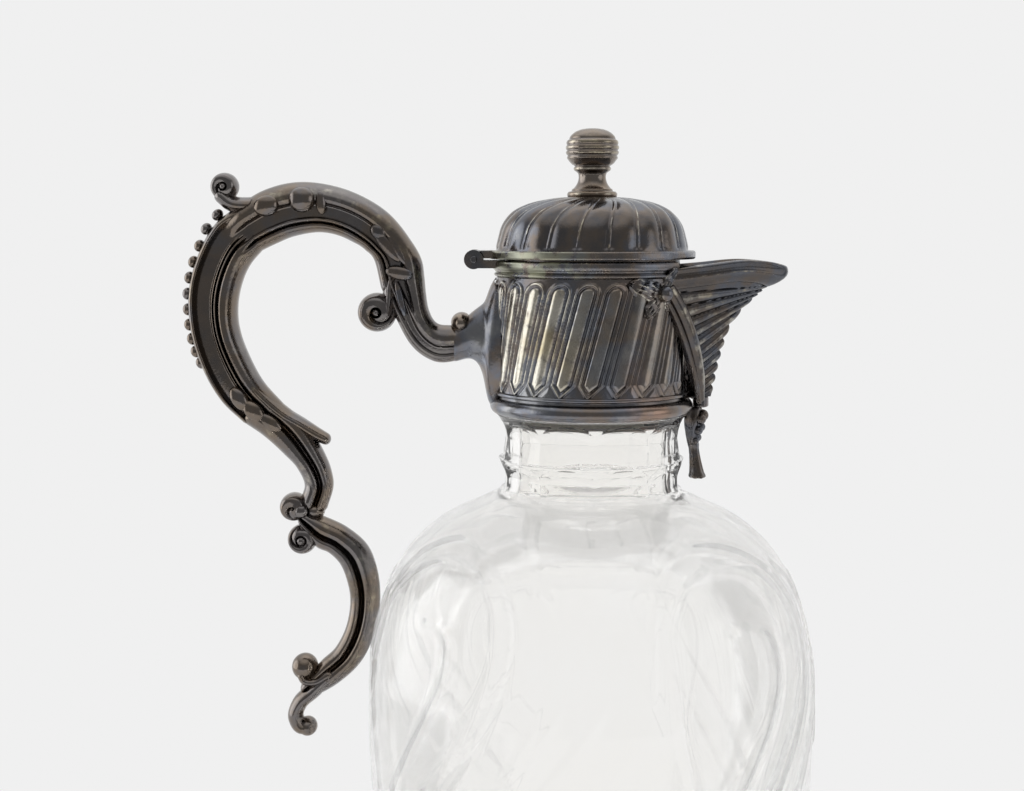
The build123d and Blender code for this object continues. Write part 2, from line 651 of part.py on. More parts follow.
def build():
    """All named pieces of the jug."""
    parts = {}
    full = spout_body(0, 0, 180)
    channel = spout_body(-SPOUT_WALL, -SPOUT_WALL, SPOUT_LEVELS[0][0] + SPOUT_WALL)
    proud = spout_body(LIP_NOSE_PROUD, LIP_PROUD, LIP_BAND_BOTTOM)
    rim_disc = collar_rim_disc()

    parts["glass_vessel"] = glass_vessel()
    parts["plaster_bed"] = plaster_bed()
    parts["collar_sleeve"] = collar_sleeve(channel)
    parts["collar_base_bead"] = collar_base_bead()
    parts["collar_top_rim"] = collar_top_rim(rim_disc, proud)
    parts["spout_shell"] = spout_shell(full, channel) - parts["collar_top_rim"]
    parts["spout_lip_moulding"] = spout_lip_moulding(full, proud, parts["collar_top_rim"])

    spout_outside = full + proud
    strap = ribbon_strap(spout_outside)
    bow = bow_knot(spout_outside)
    clasp = ribbon_clasp()
    strap = biggest(strap - bow - clasp)
    parts["bow_knot_front"] = bow
    parts["bow_knot_back"] = mirror(bow, Plane.XZ)
    parts["ribbon_strap_front"] = strap
    parts["ribbon_strap_back"] = mirror(strap, Plane.XZ)
    upper_wire = biggest(collar_wire(UPPER_WIRE_LEVEL) - spout_outside)
    lower_wire = collar_wire(LOWER_WIRE_LEVEL) - spout_outside - strap - parts["ribbon_strap_back"]
    parts["collar_upper_wire"] = upper_wire
    parts["collar_lower_wire"] = biggest(lower_wire)
    parts["ribbon_clasp"] = clasp
    parts["drop_husk"] = drop_husk()
    parts["drop_tail"] = drop_tail()
    parts["drop_berries"] = drop_berries(parts["drop_husk"])

    socket = handle_socket(parts["collar_base_bead"], [upper_wire, parts["collar_lower_wire"]])
    neck_arm = limb(NECK_ARM)
    upper_arm = limb(UPPER_ARM)
    parts["handle_socket"] = socket
    parts["handle_neck_arm"] = neck_arm
    parts["handle_socket_boss"] = biggest(roller(*SOCKET_BOSS, 0.45) - socket - neck_arm)
    parts["handle_upper_arm"] = upper_arm
    arm_collar = limb(ARM_COLLAR_STATIONS, waist=0.96)
    parts["handle_arm_collar"] = biggest(arm_collar - upper_arm - neck_arm)
    volute = roller(*INNER_VOLUTE) - neck_arm - upper_arm - parts["handle_arm_collar"]
    parts["handle_inner_volute"] = biggest(volute)

    liner = handle_grip_liner()
    lower_leaf = limb(LOWER_LEAF, waist=1.0)
    grip = biggest(limb(GRIP) - liner - lower_leaf)
    liner = biggest(liner - lower_leaf)
    lower_scroll = biggest(limb(LOWER_SCROLL) - lower_leaf)
    parts["handle_grip"] = grip
    parts["handle_grip_liner"] = liner
    parts["handle_lower_leaf"] = lower_leaf
    parts["handle_beads"] = handle_beads(grip)
    stalk = limb(THUMB_STALK, waist=0.96) + roller(*THUMB_VOLUTE)
    thumb = biggest(stalk - upper_arm - grip)
    parts["handle_thumb_scroll"] = thumb
    parts["handle_top_leaf"] = biggest(limb(TOP_LEAF, waist=1.0) - upper_arm - thumb - grip)
    parts["handle_lower_scroll"] = lower_scroll
    tail_volute = roller(*TAIL_UPPER_VOLUTE)
    lower_volute = roller(*LOWER_VOLUTE)
    parts["handle_lower_volute"] = biggest(lower_volute - lower_scroll - tail_volute)
    tail = limb(TAIL_SCROLL) + tail_volute + roller(*TAIL_LOWER_VOLUTE)
    tail = biggest(tail - lower_scroll - parts["handle_lower_volute"])
    parts["handle_tail_scroll"] = tail
    parts["handle_tail_tip"] = biggest(limb(TAIL_TIP, waist=0.9) - tail)

    parts["hinge_lower_leaf"] = hinge_lower_leaf(rim_disc)
    parts["hinge_pin"] = hinge_pin()
    parts["hinge_upper_leaf"] = hinge_upper_leaf()
    parts["lid_dome"] = lid_dome()
    parts["lid_rim"] = lid_rim()
    parts["lid_bezel"] = lid_bezel()
    parts["finial"] = finial()
    parts["finial_stud"] = finial_stud()
    parts["finial_washer"] = finial_washer()
    parts["finial_nut"] = finial_nut()
    return parts


def main():
    os.makedirs("parts", exist_ok=True)
    for name, shape in build().items():
        solids = shape if isinstance(shape, list) else shape.solids()
        export_step(Compound(children=list(solids)), f"parts/{name}.step")


main()
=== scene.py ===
"""Claret jug: clear cut glass body, tarnished silver mounts, hinged lid and scrolled handle."""
import math

import bmesh
import bpy
import numpy as np
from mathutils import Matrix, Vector

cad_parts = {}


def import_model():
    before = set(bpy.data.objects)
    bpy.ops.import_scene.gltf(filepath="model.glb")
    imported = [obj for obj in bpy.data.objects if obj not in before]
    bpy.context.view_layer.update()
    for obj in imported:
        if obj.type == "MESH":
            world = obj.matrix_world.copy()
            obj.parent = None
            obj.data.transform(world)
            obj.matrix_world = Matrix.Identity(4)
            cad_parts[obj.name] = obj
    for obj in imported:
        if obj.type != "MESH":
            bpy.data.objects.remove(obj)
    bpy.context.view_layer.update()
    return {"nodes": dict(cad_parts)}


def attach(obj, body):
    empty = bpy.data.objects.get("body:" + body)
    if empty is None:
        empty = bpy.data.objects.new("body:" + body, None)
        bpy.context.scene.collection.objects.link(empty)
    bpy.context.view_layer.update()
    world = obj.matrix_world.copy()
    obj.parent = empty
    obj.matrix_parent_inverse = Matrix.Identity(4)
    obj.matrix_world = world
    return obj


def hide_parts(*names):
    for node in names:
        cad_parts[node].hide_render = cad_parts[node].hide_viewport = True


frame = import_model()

MM = 0.001
SHARP = math.radians(75)  # edges above this angle stay crisp


# ------------------------------------------------------------------ mesh helpers (millimetres)
class Shape:
    """Surfaces gathered into one mesh; each point keeps how proud it stands, from 0 to 1."""

    def __init__(self):
        self.points = []
        self.relief = []
        self.faces = []
        self.count = 0

    def grid(self, points, relief=0.5, wrap_rows=False, wrap_cols=True, keep=None):
        """Adds a sheet of points in rows and columns; keep says which of its faces stay."""
        rows, cols = points.shape[:2]
        index = np.arange(rows * cols).reshape(rows, cols) + self.count
        if wrap_rows:
            index = np.vstack([index, index[:1]])
        if wrap_cols:
            index = np.hstack([index, index[:, :1]])
        faces = np.stack([index[:-1, :-1], index[:-1, 1:], index[1:, 1:], index[1:, :-1]], axis=-1).reshape(-1, 4)
        flat = points.reshape(-1, 3)
        if keep is not None:
            middle = flat[faces - self.count].mean(axis=1)
            faces = faces[keep(middle)]
        self.faces.extend(faces.tolist())
        self.points.append(flat)
        self.relief.append(np.broadcast_to(relief, (rows, cols)).ravel())
        self.count += rows * cols

    def object(self, name, material):
        """Makes the mesh object, in metres."""
        mesh = bpy.data.meshes.new(name)
        mesh.from_pydata((np.vstack(self.points) * MM).tolist(), [], self.faces)
        mesh.materials.append(material)
        made = bpy.data.objects.new(name, mesh)
        bpy.context.scene.collection.objects.link(made)
        return made, mesh

    def build(self, name, material, slot, *nodes, body="jug"):
        """Makes a piece with its crisp edges and relief, in place of the nodes, and hangs it on its body."""
        piece, mesh = self.object(name, material)
        layer = mesh.attributes.new("relief", "FLOAT", "POINT")
        layer.data.foreach_set("value", np.concatenate(self.relief).astype(np.float32))
        work = bmesh.new()
        work.from_mesh(mesh)
        bmesh.ops.remove_doubles(work, verts=work.verts, dist=2e-6)
        loose = [v for v in work.verts if not v.link_faces]
        bmesh.ops.delete(work, geom=loose, context="VERTS")
        bmesh.ops.recalc_face_normals(work, faces=work.faces)
        for edge in work.edges:
            if edge.is_manifold and edge.calc_face_angle() > SHARP:
                edge.smooth = False
        work.to_mesh(mesh)
        work.free()
        mesh.polygons.foreach_set("use_smooth", [True] * len(mesh.polygons))
        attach(piece, body)
        if nodes:
            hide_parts(*nodes)


def spline(points, count):
    """Smooth curve through points of two or more numbers, as count evenly spaced rows."""
    points = np.asarray(points, float)
    steps = np.linalg.norm(np.diff(points[:, :3], axis=0), axis=1)
    along = np.concatenate([[0], np.cumsum(steps)])
    slopes = np.gradient(points, along, axis=0)
    want = np.linspace(0, along[-1], count)
    k = np.clip(np.searchsorted(along, want, side="right") - 1, 0, len(along) - 2)
    gap = (along[k + 1] - along[k])[:, None]
    s = (want - along[k])[:, None] / gap
    rise = 3 * s**2 - 2 * s**3
    leave = (s**3 - 2 * s**2 + s) * gap * slopes[k]
    reach = (s**3 - s**2) * gap * slopes[k + 1]
    return (1 - rise) * points[k] + leave + rise * points[k + 1] + reach


def unit(vectors):
    return vectors / np.maximum(np.linalg.norm(vectors, axis=-1, keepdims=True), 1e-9)


def smooth(value, low, high):
    """0 below low, 1 above high, and a soft step between them."""
    t = np.clip((value - low) / (high - low), 0, 1)
    return t * t * (3 - 2 * t)


def half_circle(value):
    """1 at 0, falling in a circle to 0 at -1 and 1, and 0 outside them."""
    return np.sqrt(np.clip(1 - value**2, 0, 1))


def around(count):
    return np.linspace(0, 2 * math.pi, count, endpoint=False)


def on_round(radius, angle, level):
    """Points on a round body: the angle runs from the front, -Y, towards the spout, +X."""
    radius, angle, level = np.broadcast_arrays(radius, angle, level)
    return np.stack([radius * np.sin(angle), -radius * np.cos(angle), level], axis=-1)


def outline_normals(outline):
    """Normals of an outline of (radius, level) rows, on the side to its right as it rises."""
    slope = np.gradient(outline, axis=0)
    return unit(np.stack([slope[:, 1], -slope[:, 0]], axis=-1))


def turned(shape, outline, segments, relief, rise=None, centre_x=0):
    """Turns an outline of (radius, level) rows; rise(row, angle) lifts the surface."""
    angle = around(segments)[None, :]
    radius = np.repeat(outline[:, :1], segments, axis=1)
    level = np.repeat(outline[:, 1:2], segments, axis=1)
    if rise is not None:
        lift = rise(np.arange(len(outline))[:, None], angle)
        normal = outline_normals(outline)
        radius = radius + lift * normal[:, :1]
        level = level + lift * normal[:, 1:]
    shape.grid(on_round(radius, angle, level) + np.array([centre_x, 0, 0]), relief)


def roll(u, start, end, height):
    """Round moulding between two places across a section."""
    middle = (start + end) / 2
    half = (end - start) / 2
    return height * half_circle((u - middle) / half)


def arm_section(u):
    """Broad roll outside, a hollow, a thin ridge and a band inside."""
    return 0.56 + roll(u, -1.02, -0.14, 0.44) + roll(u, 0.36, 0.58, 0.26) + roll(u, 0.6, 1.02, 0.3)


def neck_section(u):
    """Broad roll outside and a hollow with a narrow roll inside."""
    return 0.58 + roll(u, -1.02, 0.16, 0.42) + roll(u, 0.5, 1.02, 0.26)


def grip_section(u):
    """Rim roll outside, a wide channel, two thin ridges and a broad roll inside."""
    rolls = roll(u, -1.02, -0.7, 0.46) + roll(u, -0.02, 0.1, 0.14) + roll(u, 0.13, 0.24, 0.22)
    return 0.54 + rolls + roll(u, 0.26, 1.02, 0.42)


def scroll_section(u):
    """Two broad rolls with a thin line between them."""
    return 0.6 + roll(u, -1.02, 0.06, 0.4) + roll(u, 0.12, 0.22, 0.18) + roll(u, 0.28, 1.02, 0.34)


def leaf_section(u):
    """One plain swelling."""
    return 0.72 + 0.28 * (1 - u**2)


def limb(shape, stations, rows, sections, ends=(True, True)):
    """Handle member through (outer x, z, inner x, z, width) stations, with a moulded section.

    sections lists (place along the member, section); the mouldings blend between these places,
    and ends says which of its two ends are rounded off.
    """
    table = spline(stations, rows)
    outer, inner, half = table[:, :2], table[:, 2:4], table[:, 4] / 2
    turn = around(120)
    u = -np.cos(turn)
    side = np.sign(np.sin(turn)) * np.abs(np.sin(turn)) ** 0.75
    place = np.linspace(0, 1, rows)
    profile = np.zeros((rows, len(turn)))
    for i, (at, section) in enumerate(sections):
        weight = np.ones(rows)
        if i > 0:
            weight = weight * smooth(place, sections[i - 1][0], at)
        if i + 1 < len(sections):
            weight = weight * (1 - smooth(place, at, sections[i + 1][0]))
        profile += weight[:, None] * section(u)[None, :]
    middle = (outer + inner) / 2
    reach = (inner - outer) / 2
    flat = middle[:, None, :] + u[None, :, None] * reach[:, None, :]
    y = half[:, None] * side[None, :] * profile
    points = np.stack([flat[..., 0], y, flat[..., 1]], axis=-1)
    relief = 0.2 + 0.8 * np.clip((profile - 0.54) / 0.46, 0, 1)
    shape.grid(*rounded_ends(points, relief, ends))


def rounded_ends(points, relief, ends):
    """Closes a tube of rings: with a round cap at each wanted end, and flat at the others."""
    steps = np.radians([25, 50, 72, 90])
    for which, wanted in enumerate(ends):
        ring = points[0] if which == 0 else points[-1]
        beside = points[1] if which == 0 else points[-2]
        middle = ring.mean(axis=0)
        outward = unit(middle - beside.mean(axis=0))
        depth = np.linalg.norm(ring - middle, axis=1).min() * (0.9 if wanted else 0.0)
        caps = [middle + (ring - middle) * math.cos(a) + outward * depth * math.sin(a) for a in steps]
        shade = [relief[0 if which == 0 else -1]] * len(caps)
        if which == 0:
            points = np.concatenate([np.array(caps[::-1]), points])
            relief = np.concatenate([np.array(shade[::-1]), relief])
        else:
            points = np.concatenate([points, np.array(caps)])
            relief = np.concatenate([relief, np.array(shade)])
    return points, relief


def curl(shape, path, thick, wide, eye, rows=90):
    """Scroll in the handle's plane: path of (x, z), half thickness and half width from start to end.

    eye is the x, z, radius and extra half width of the round knob that ends it.
    """
    line = spline(path, rows)
    along = unit(np.gradient(line, axis=0))
    across = np.stack([-along[:, 1], along[:, 0]], axis=-1)
    place = np.linspace(0, 1, rows)
    half = thick[0] + (thick[1] - thick[0]) * place
    width = wide[0] + (wide[1] - wide[0]) * place
    turn = around(40)
    c = np.cos(turn)
    s = np.sign(np.sin(turn)) * np.abs(np.sin(turn)) ** 0.8
    crest = 1 - 0.12 * np.cos(2 * turn)
    flat = line[:, None, :] + (half[:, None] * c[None, :])[..., None] * across[:, None, :]
    y = width[:, None] * (s * crest)[None, :]
    points = np.stack([flat[..., 0], y, flat[..., 1]], axis=-1)
    relief = np.broadcast_to(0.35 + 0.5 * np.abs(s)[None, :], (rows, len(turn)))
    shape.grid(*rounded_ends(points, relief, (True, True)))
    x, z, radius, proud = eye
    pebble(shape, (x, 0, z), (radius, wide[1] + proud, radius), relief=0.85)


def volute(shape, centre, radius, half_width, start, turns, eye, way=1):
    """Solid scroll end: a disc with a spiral groove from its rim at start degrees in to a round eye."""
    x0, z0 = centre
    reach = np.sin(np.linspace(0, math.pi / 2, 44))[:, None] * radius
    turn = around(96)[None, :]
    past = ((way * (turn - math.radians(start))) % (2 * math.pi)) / (2 * math.pi)
    pitch = (radius - eye) / turns
    coil = (radius - reach) / pitch - past
    band = coil - np.floor(coil)
    hump = half_circle(2 * band - 1)
    ball = half_circle(reach / eye)
    inside = reach < eye
    edge = np.clip(1 - (reach / radius) ** 6, 0, 1) ** 0.5
    height = half_width * np.where(inside, 0.55 + 0.57 * ball, 0.62 + 0.38 * hump) * edge
    relief = np.where(inside, 0.45 + 0.4 * ball, 0.1 + 0.55 * hump) * np.ones_like(height)
    flat = [x0 + reach * np.cos(turn), z0 + reach * np.sin(turn)]
    front = np.stack([flat[0], -height, flat[1]], axis=-1)
    back = np.stack([flat[0], height, flat[1]], axis=-1)[::-1]
    shape.grid(np.concatenate([front, back]), np.concatenate([relief, relief[::-1]]))


def pebble(shape, centre, radii, tilt=0, relief=0.6):
    """Ellipsoid, tilted in the handle's plane by tilt degrees."""
    polar = np.linspace(0, math.pi, 20)[:, None]
    turn = around(36)[None, :]
    x = radii[0] * np.cos(polar) * np.ones_like(turn)
    y = radii[1] * np.sin(polar) * np.cos(turn)
    z = radii[2] * np.sin(polar) * np.sin(turn)
    a = math.radians(tilt)
    points = np.stack([x * math.cos(a) - z * math.sin(a), y, x * math.sin(a) + z * math.cos(a)], axis=-1)
    shape.grid(points + np.array(centre), relief)


def pebbles(shape, table, level):
    """Lobes on both sides of the handle: (x, z, half length, half breadth, tilt), proud of +-level."""
    for x, z, length, breadth, tilt in table:
        for sign in (-1, 1):
            pebble(shape, (x, sign * level, z), (length, min(length, breadth) * 0.8, breadth), tilt)


# ------------------------------------------------------------------ materials
class Nodes:
    """A node tree and short calls that add to it; each returns the new node's output."""

    def __init__(self, owner):
        owner.use_nodes = True
        self.tree = owner.node_tree
        self.tree.nodes.clear()

    def new(self, kind):
        return self.tree.nodes.new("ShaderNode" + kind)

    def feed(self, socket, value):
        """Sets a socket to a number or a colour, or links another node's output to it."""
        if isinstance(value, (int, float)):
            socket.default_value = value
        elif isinstance(value, tuple):
            socket.default_value = (*value, 1)
        else:
            self.tree.links.new(value, socket)

    def add(self, kind, output, values, **settings):
        """Adds a node with its settings and the values of its sockets."""
        node = self.new(kind)
        for name, value in settings.items():
            setattr(node, name, value)
        for name, value in values.items():
            self.feed(node.inputs[name], value)
        return node.outputs[output]

    def place(self):
        return self.add("TexCoord", "Object", {})

    def split(self, vector):
        """The outputs X, Y and Z of a vector."""
        node = self.new("SeparateXYZ")
        self.feed(node.inputs["Vector"], vector)
        return node.outputs

    def noise(self, place, scale, detail, roughness):
        values = {"Vector": place, "Scale": scale, "Detail": detail, "Roughness": roughness}
        return self.add("TexNoise", "Fac", values)

    def ramp(self, value, *stops):
        node = self.new("ValToRGB")
        bar = node.color_ramp
        while len(bar.elements) < len(stops):
            bar.elements.new(0.5)
        for element, (at, colour) in zip(bar.elements, stops):
            element.position = at
            element.color = (*colour, 1)
        self.feed(node.inputs["Fac"], value)
        return node.outputs["Color"]

    def calc(self, kind, first, second):
        return self.add("Math", "Value", {0: first, 1: second}, operation=kind)

    def times(self, first, second):
        return self.calc("MULTIPLY", first, second)

    def plus(self, first, second):
        return self.calc("ADD", first, second)

    def mix(self, factor, first, second):
        return self.add("Mix", "Result", {"Factor": factor, "A": first, "B": second}, data_type="RGBA")

    def span(self, value, low, high, top=1.0):
        """0 below low, top above high, with a soft step."""
        values = {"Value": value, "From Min": low, "From Max": high, "To Max": top}
        return self.add("MapRange", "Result", values, interpolation_type="SMOOTHSTEP")

    def bump(self, shader, height, strength, distance):
        """Puts a fine bump on a shader."""
        values = {"Height": height, "Strength": strength, "Distance": distance}
        self.feed(shader.inputs["Normal"], self.add("Bump", "Normal", values))


def new_material(name):
    """A node material with one Principled shader; n.surface is the output that it feeds."""
    material = bpy.data.materials.new(name)
    n = Nodes(material)
    shader = n.new("BsdfPrincipled")
    n.surface = n.new("OutputMaterial").inputs["Surface"]
    n.feed(n.surface, shader.outputs["BSDF"])
    return material, n, shader


DARK = (0.135, 0.135, 0.145)
BROWN = (0.215, 0.180, 0.155)
BLUE = (0.175, 0.185, 0.215)
STEEL = (0.33, 0.33, 0.33)
PALE = (0.66, 0.63, 0.55)
GOLD = (0.50, 0.43, 0.29)
COPPER = (0.46, 0.29, 0.21)
VERDIGRIS = (0.40, 0.41, 0.31)
BRASS = (0.27, 0.21, 0.15)


def silver(
    name, worn=0.5, gold=0.3, roughness=0.26, sculpted=True, copper=0.0, verdigris=0.0, tone=1.0, left=0.0, warmth=0.0
):
    """Old plated silver: grey-blue and brown tarnish, darker in the hollows, pale where it is rubbed.

    copper shows through towards the spout and verdigris towards the handle; tone makes the
    tarnish lighter or darker, left is how much of the pale rubbed colour is kept only on the handle's side,
    as a painted highlight for the light falling from the left, and warmth turns the tarnish towards brass.
    """
    dark, brown, blue, steel, brass = (
        tuple(c * tone for c in colour) for colour in (DARK, BROWN, BLUE, STEEL, BRASS)
    )
    material, n, shader = new_material(name)
    place = n.place()
    x = n.split(place)["X"]
    clouds = n.noise(place, 70, 5, 0.6)
    streaks = n.noise(place, 300, 4, 0.6)
    grain = n.noise(place, 1500, 3, 0.6)
    warm = n.noise(place, 45, 3, 0.5)
    colour = n.ramp(clouds, (0.32, dark), (0.45, brown), (0.56, blue), (0.74, steel))
    if warmth:
        colour = n.mix(warmth, colour, brass)
    leftward = n.times(x, -1.0)
    if copper:
        patches = n.times(n.span(x, 0.002, 0.018, copper), n.span(warm, 0.42, 0.62))
        colour = n.mix(patches, colour, COPPER)
    if verdigris:
        patches = n.times(n.span(leftward, -0.004, 0.016, verdigris), n.span(streaks, 0.40, 0.56))
        colour = n.mix(patches, colour, VERDIGRIS)
    if sculpted:
        height = n.add("Attribute", "Fac", {}, attribute_name="relief")
        colour = n.mix(n.times(n.span(height, 0.45, 0.02), 0.4), colour, dark)
        rubbed = n.plus(n.times(height, 0.60), n.times(streaks, 0.80))
        wear_and_left_highlight = n.span(rubbed, 1.05 - 0.30 * worn, 1.30 - 0.30 * worn, 0.35 + 0.6 * worn)
        # painted highlight: with left set, the pale colour is cut back away from the handle's side (-X), so the side
        # that faces the light from the left stays lighter
        if left:
            wear_and_left_highlight = n.times(wear_and_left_highlight, n.plus(1 - left, n.span(leftward, -0.002, 0.014, left)))
        rub = n.mix(n.span(warm, 0.5 - 0.25 * gold, 0.7), PALE, GOLD)
        colour = n.mix(wear_and_left_highlight, colour, rub)
    n.feed(shader.inputs["Base Color"], colour)
    shader.inputs["Metallic"].default_value = 1.0
    n.feed(shader.inputs["Roughness"], n.plus(n.times(streaks, 0.22), roughness - 0.11))
    n.bump(shader, n.plus(grain, streaks), 0.10, 0.0004)
    return material


GLASS_STRENGTH = 0.58  # below the neck, the rest of the light passes straight on
NECK_FROM, NECK_FULL = 0.158, 0.168  # levels in metres between which the glass comes to full strength
GLASS_TONES = (0.35, (0.995, 0.99, 0.975)), (0.7, (0.985, 0.975, 0.95))
PLASTER_TONES = (0.3, (0.38, 0.35, 0.29)), (0.7, (0.62, 0.58, 0.50))


def clear_glass(name):
    """Clear glass with faint waviness and a warm cast, partly see-through below the neck."""
    material, n, shader = new_material(name)
    place = n.place()
    waves = n.noise(place, 40, 2, 0.5)
    n.feed(shader.inputs["Base Color"], n.ramp(waves, *GLASS_TONES))
    shader.inputs["Transmission Weight"].default_value = 1.0
    shader.inputs["Roughness"].default_value = 0.015
    shader.inputs["IOR"].default_value = 1.47
    neck = n.span(n.split(place)["Z"], NECK_FROM, NECK_FULL, 1 - GLASS_STRENGTH)
    n.feed(shader.inputs["Alpha"], n.plus(neck, GLASS_STRENGTH))
    n.bump(shader, waves, 0.05, 0.001)
    return material


def plaster(name):
    """Old setting plaster behind the collar."""
    material, n, shader = new_material(name)
    grain = n.noise(n.place(), 700, 5, 0.6)
    n.feed(shader.inputs["Base Color"], n.ramp(grain, *PLASTER_TONES))
    shader.inputs["Roughness"].default_value = 0.85
    n.bump(shader, grain, 0.4, 0.0003)
    return material


# left=0.85 paints a highlight: the reeds' pale colour stays mostly on the handle's side, where the light from the left
# falls; the rest is wear on their crests
reeded_silver = silver("reeded_silver_look", worn=1.05, gold=0.1, roughness=0.20, copper=0.5, tone=0.95, left=0.85)
spout_silver = silver("spout_silver_look", worn=0.40, gold=0.5, roughness=0.22, tone=0.58)
leaf_silver = silver("leaf_silver_look", worn=0.75, gold=0.3, roughness=0.20, tone=0.8)
lid_silver = silver("lid_silver_look", worn=0.60, gold=0.2, roughness=0.18, tone=0.78)
finial_silver = silver("finial_silver_look", worn=0.55, gold=0.9, roughness=0.18, warmth=0.6)
handle_silver = silver("handle_silver_look", worn=0.25, gold=0.7, roughness=0.15, tone=0.85, warmth=0.35)
drop_silver = silver("drop_silver_look", worn=0.25, gold=0.6, tone=0.7)
plain_silver = silver("plain_silver_look", roughness=0.25, sculpted=False)
bead_silver = silver("bead_silver_look", roughness=0.22, sculpted=False, copper=0.9)
clasp_copper = silver("clasp_silver_look", roughness=0.24, sculpted=False, copper=1.0)
rim_silver = silver("rim_silver_look", roughness=0.28, sculpted=False, verdigris=0.75)
cut_glass = clear_glass("cut_glass_look")
setting_plaster = plaster("plaster_look")


# ------------------------------------------------------------------ collar
SLEEVE_RADIUS = 26.8
SLEEVE_BORE = 25.6
SLEEVE_BOTTOM = 192.9
SLEEVE_TOP = 226.6
REED_COUNT = 22
REED_MIDDLE = -3.4  # degrees from the front to the top of the nearest reed
REED_LEAN = 0.272  # mm across for each mm of height
REED_SIDE = 1.9  # half width of the inner reed
BORDER = (2.35, 3.45)  # the border roll, from the reed's middle line
REED_TOP = 222.5  # middle of the round top
REED_BOTTOM = 198.4  # where the point begins
POINT_SLOPE = 0.85  # how fast the point closes in
SPOUT_BACK = 18.0
SPOUT_LEVELS = [  # level, nose x, half width
    (192.9, 33.9, 9.2), (199.0, 35.1, 10.6), (206.0, 36.7, 12.4), (213.0, 39.2, 14.2), (218.7, 43.6, 15.6),
    (222.7, 47.8, 16.6), (226.0, 51.6, 17.2), (232.5, 55.2, 17.8),
]
WINDOW_SILL = 204.0
LEVELS = spline(SPOUT_LEVELS, 300)


def spout_plan(level, turn, grow=0.0):
    """Point and normal on the spout's outside; turn runs -1, front side, 0, nose, to 1, back side."""
    nose = np.interp(level, LEVELS[:, 0], LEVELS[:, 1]) + grow
    side = np.interp(level, LEVELS[:, 0], LEVELS[:, 2]) + grow
    reach = nose - SPOUT_BACK
    x = SPOUT_BACK + reach * (1 - np.abs(turn) ** (4 / 3))
    y = side * turn
    normal = unit(np.stack([side, reach * 4 / 3 * np.abs(turn) ** (1 / 3) * np.sign(turn)], axis=-1))
    return x, y, normal


def outside_spout(middle, margin=0.7):
    """True where a point is outside the spout's channel or below the window's sill."""
    x, y, z = middle.T
    nose = np.interp(z, LEVELS[:, 0], LEVELS[:, 1]) - margin
    side = np.interp(z, LEVELS[:, 0], LEVELS[:, 2]) - margin
    share = np.clip((x - SPOUT_BACK) / (nose - SPOUT_BACK), 0, 1)
    return (z < WINDOW_SILL) | (x < SPOUT_BACK) | (np.abs(y) > side * (1 - share) ** 0.75)


def outside_lip(middle):
    """True where a point of the rim is outside the spout and its lip."""
    return outside_spout(middle, -0.6)


def reeds(angle, level):
    """Height above the ground and relief of the slanted reeds in their borders."""
    pitch = 2 * math.pi * SLEEVE_RADIUS / REED_COUNT
    square = math.cos(math.atan(REED_LEAN))
    arc = (angle - math.radians(REED_MIDDLE)) * SLEEVE_RADIUS - REED_LEAN * (level - REED_TOP - BORDER[1])
    across = ((arc + pitch / 2) % pitch - pitch / 2) * square
    over = np.maximum(level - REED_TOP, 0)
    under = np.maximum(REED_BOTTOM - level, 0)
    q = np.hypot(across, over) + POINT_SLOPE * under
    reed = np.clip(1 - (q / REED_SIDE) ** 4, 0, 1) ** 0.5
    border = np.sin(math.pi * np.clip((q - BORDER[0]) / (BORDER[1] - BORDER[0]), 0, 1))
    dart = np.clip((q - BORDER[1] - 0.5) / 1.2, 0, 1) * (level < REED_BOTTOM) * smooth(level, 193.6, 194.4)
    height = -0.30 + reed * (0.55 + 0.28 * half_circle(q / REED_SIDE)) + 0.55 * border + 0.35 * dart
    relief = np.clip(0.15 + 0.85 * reed + 0.70 * border + 0.35 * dart, 0, 1)
    return height, relief


def collar_sleeve():
    levels = np.linspace(SLEEVE_BOTTOM, SLEEVE_TOP, 120)[:, None]
    angle = around(REED_COUNT * 34)[None, :]
    height, relief = reeds(angle, levels)
    outside = on_round(SLEEVE_RADIUS + height, angle, levels)
    inner_levels = np.linspace(SLEEVE_TOP, SLEEVE_BOTTOM, 24)[:, None]
    inside = on_round(np.full_like(inner_levels, SLEEVE_BORE), angle, inner_levels)
    shape = Shape()
    points = np.concatenate([outside, inside])
    shade = np.concatenate([relief, np.full(inside.shape[:2], 0.3)])
    shape.grid(points, shade, wrap_rows=True, keep=outside_spout)
    shape.build("reeded_sleeve", reeded_silver, "reeded_silver", "collar_sleeve")


RIM_PROFILE = [  # radius, level: wire, step, cove and rounded band
    (25.6, 226.6), (26.6, 226.6), (26.7, 226.9), (27.2, 227.0), (27.45, 227.4), (27.2, 227.8), (26.75, 227.9),
    (26.75, 228.1), (27.1, 228.2), (27.15, 228.5), (27.5, 228.8), (27.9, 229.1), (28.1, 229.6), (28.1, 230.4),
    (27.9, 231.0), (27.5, 231.3), (25.6, 231.3),
]


def collar_rim():
    """Top moulding of the collar: a wire, a step and a rounded band, open towards the spout."""
    profile = np.array(RIM_PROFILE)
    angle = around(480)[None, :]
    points = on_round(profile[:, :1], angle, profile[:, 1:])
    shape = Shape()
    shape.grid(points, 0.5, wrap_rows=True, keep=outside_lip)
    shape.build("collar_rim", rim_silver, "mount_silver", "collar_top_rim", "collar_upper_wire")


